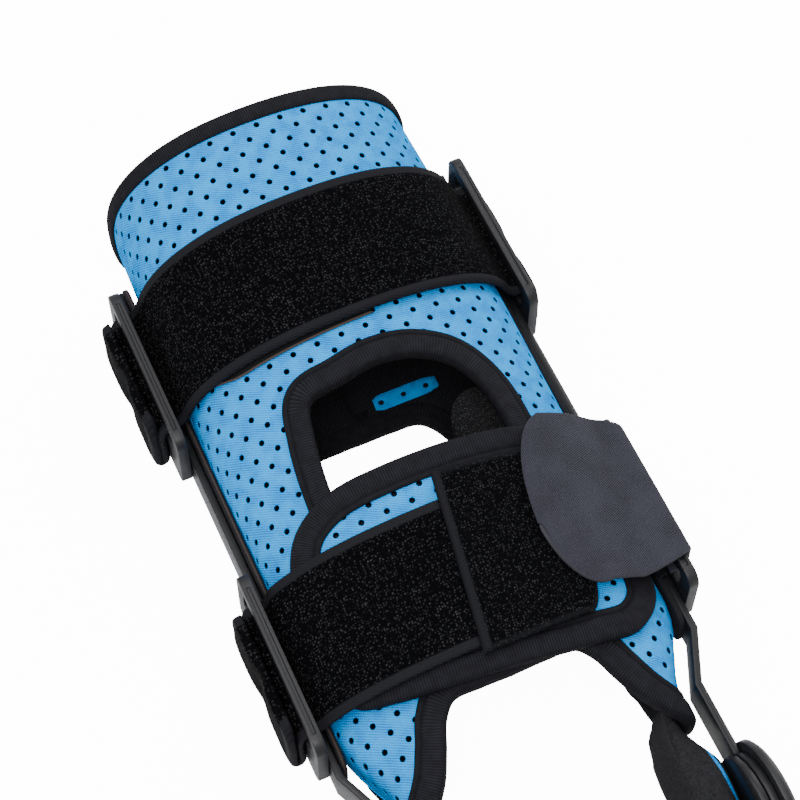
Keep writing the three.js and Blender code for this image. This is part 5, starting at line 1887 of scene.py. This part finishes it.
class BRACE_OT_hinges(bpy.types.Operator):
    """Domed hinge covers and the cushions inside the knee hinges"""
    bl_idname = "brace.hinges"
    bl_label = "Knee hinges"

    def execute(self, context):
        right = domed_cover("hinge_dome_right")
        left = copy_of(right, "hinge_dome_left", half_turn=True)
        settle(right, "plastic", "thigh", "hinge_cover_right")
        settle(left, "plastic", "thigh", "hinge_cover_left")
        for side in SIDES:
            node = f"knee_pad_{side}"
            cushion = own_copy(node, f"knee_cushion_{side}")
            shape = bmesh.new()
            shape.from_mesh(cushion.data)
            bmesh.ops.remove_doubles(shape, verts=shape.verts, dist=WELD)
            shape.to_mesh(cushion.data)
            shape.free()
            swell(cushion, CUSHION_VOXEL, CUSHION_PRESSURE, CUSHION_CAP)
            settle(cushion, "cushion", "thigh", node)
        return {"FINISHED"}


class BRACE_OT_stage(bpy.types.Operator):
    """Pale floor, soft lights and the camera"""
    bl_idname = "brace.stage"
    bl_label = "Stage"

    def execute(self, context):
        settings = context.scene.brace_stage
        bpy.ops.object.select_all(action="DESELECT")
        bpy.ops.mesh.primitive_plane_add(size=settings.floor_size, location=(0, 0, -FLOOR_GAP))
        bpy.ops.object.transform_apply(location=True, rotation=True, scale=True)
        floor = bpy.context.active_object
        floor.name = "floor"
        floor.data.materials.append(finish_of("floor"))

        world = bpy.data.worlds.new("studio")
        world.use_nodes = True
        backdrop = world.node_tree.nodes["Background"]
        backdrop.inputs["Color"].default_value = (1, 1, 1, 1)
        backdrop.inputs["Strength"].default_value = settings.sky
        context.scene.world = world

        for name, size, at in LAMPS:
            self.lamp(name, getattr(settings, name + "_power"), size, at)

        lens = bpy.data.cameras.new("camera")
        lens.lens = settings.lens
        lens.sensor_width = 36.0
        lens.clip_start = 0.01
        camera = bpy.data.objects.new("camera", lens)
        turn = Matrix((CAMERA_RIGHT, CAMERA_UP, CAMERA_BACK)).transposed().to_4x4()
        camera.matrix_world = Matrix.Translation(CAMERA_AT) @ turn
        context.scene.collection.objects.link(camera)
        context.scene.camera = camera
        return {"FINISHED"}

    def lamp(self, name, power, size, at):
        """A square lamp that points at the brace."""
        light = bpy.data.lights.new(name, "AREA")
        light.energy = power
        light.size = size
        lamp = bpy.data.objects.new(name, light)
        lamp.location = at
        away = lamp.location - CAD_BOX[0].lerp(CAD_BOX[1], 0.6)
        lamp.rotation_euler = away.to_track_quat("Z", "Y").to_euler()
        bpy.context.scene.collection.objects.link(lamp)


OPERATORS = [
    BRACE_OT_wraps, BRACE_OT_flap, BRACE_OT_bindings, BRACE_OT_straps, BRACE_OT_closure,
    BRACE_OT_window, BRACE_OT_side_pads, BRACE_OT_uprights, BRACE_OT_loops, BRACE_OT_hinges,
    BRACE_OT_stage,
]
SETTINGS = {
    "brace_knit": KnitSettings, "brace_tape": TapeSettings, "brace_straps": StrapSettings,
    "brace_hardware": HardwareSettings, "brace_stage": StageSettings,
}


class BRACE_PT_panel(bpy.types.Panel):
    """Lists the brace's settings and pieces"""
    bl_idname = "BRACE_PT_panel"
    bl_label = "Knee brace"
    bl_space_type = "VIEW_3D"
    bl_region_type = "UI"
    bl_category = "Brace"

    def draw(self, context):
        for name, settings in SETTINGS.items():
            group = getattr(context.scene, name)
            box = self.layout.box()
            for value in settings.__annotations__:
                box.prop(group, value)
        for operator in OPERATORS:
            self.layout.operator(operator.bl_idname)


def register():
    for kind in [*SETTINGS.values(), *OPERATORS, BRACE_PT_panel]:
        bpy.utils.register_class(kind)
    for name, settings in SETTINGS.items():
        setattr(bpy.types.Scene, name, PointerProperty(type=settings))


def unregister():
    for name in SETTINGS:
        delattr(bpy.types.Scene, name)
    for kind in [BRACE_PT_panel, *reversed(OPERATORS), *SETTINGS.values()]:
        bpy.utils.unregister_class(kind)


def main():
    register()
    for operator in OPERATORS:
        group, name = operator.bl_idname.split(".")
        getattr(getattr(bpy.ops, group), name)()


if __name__ == "__main__":
    main()
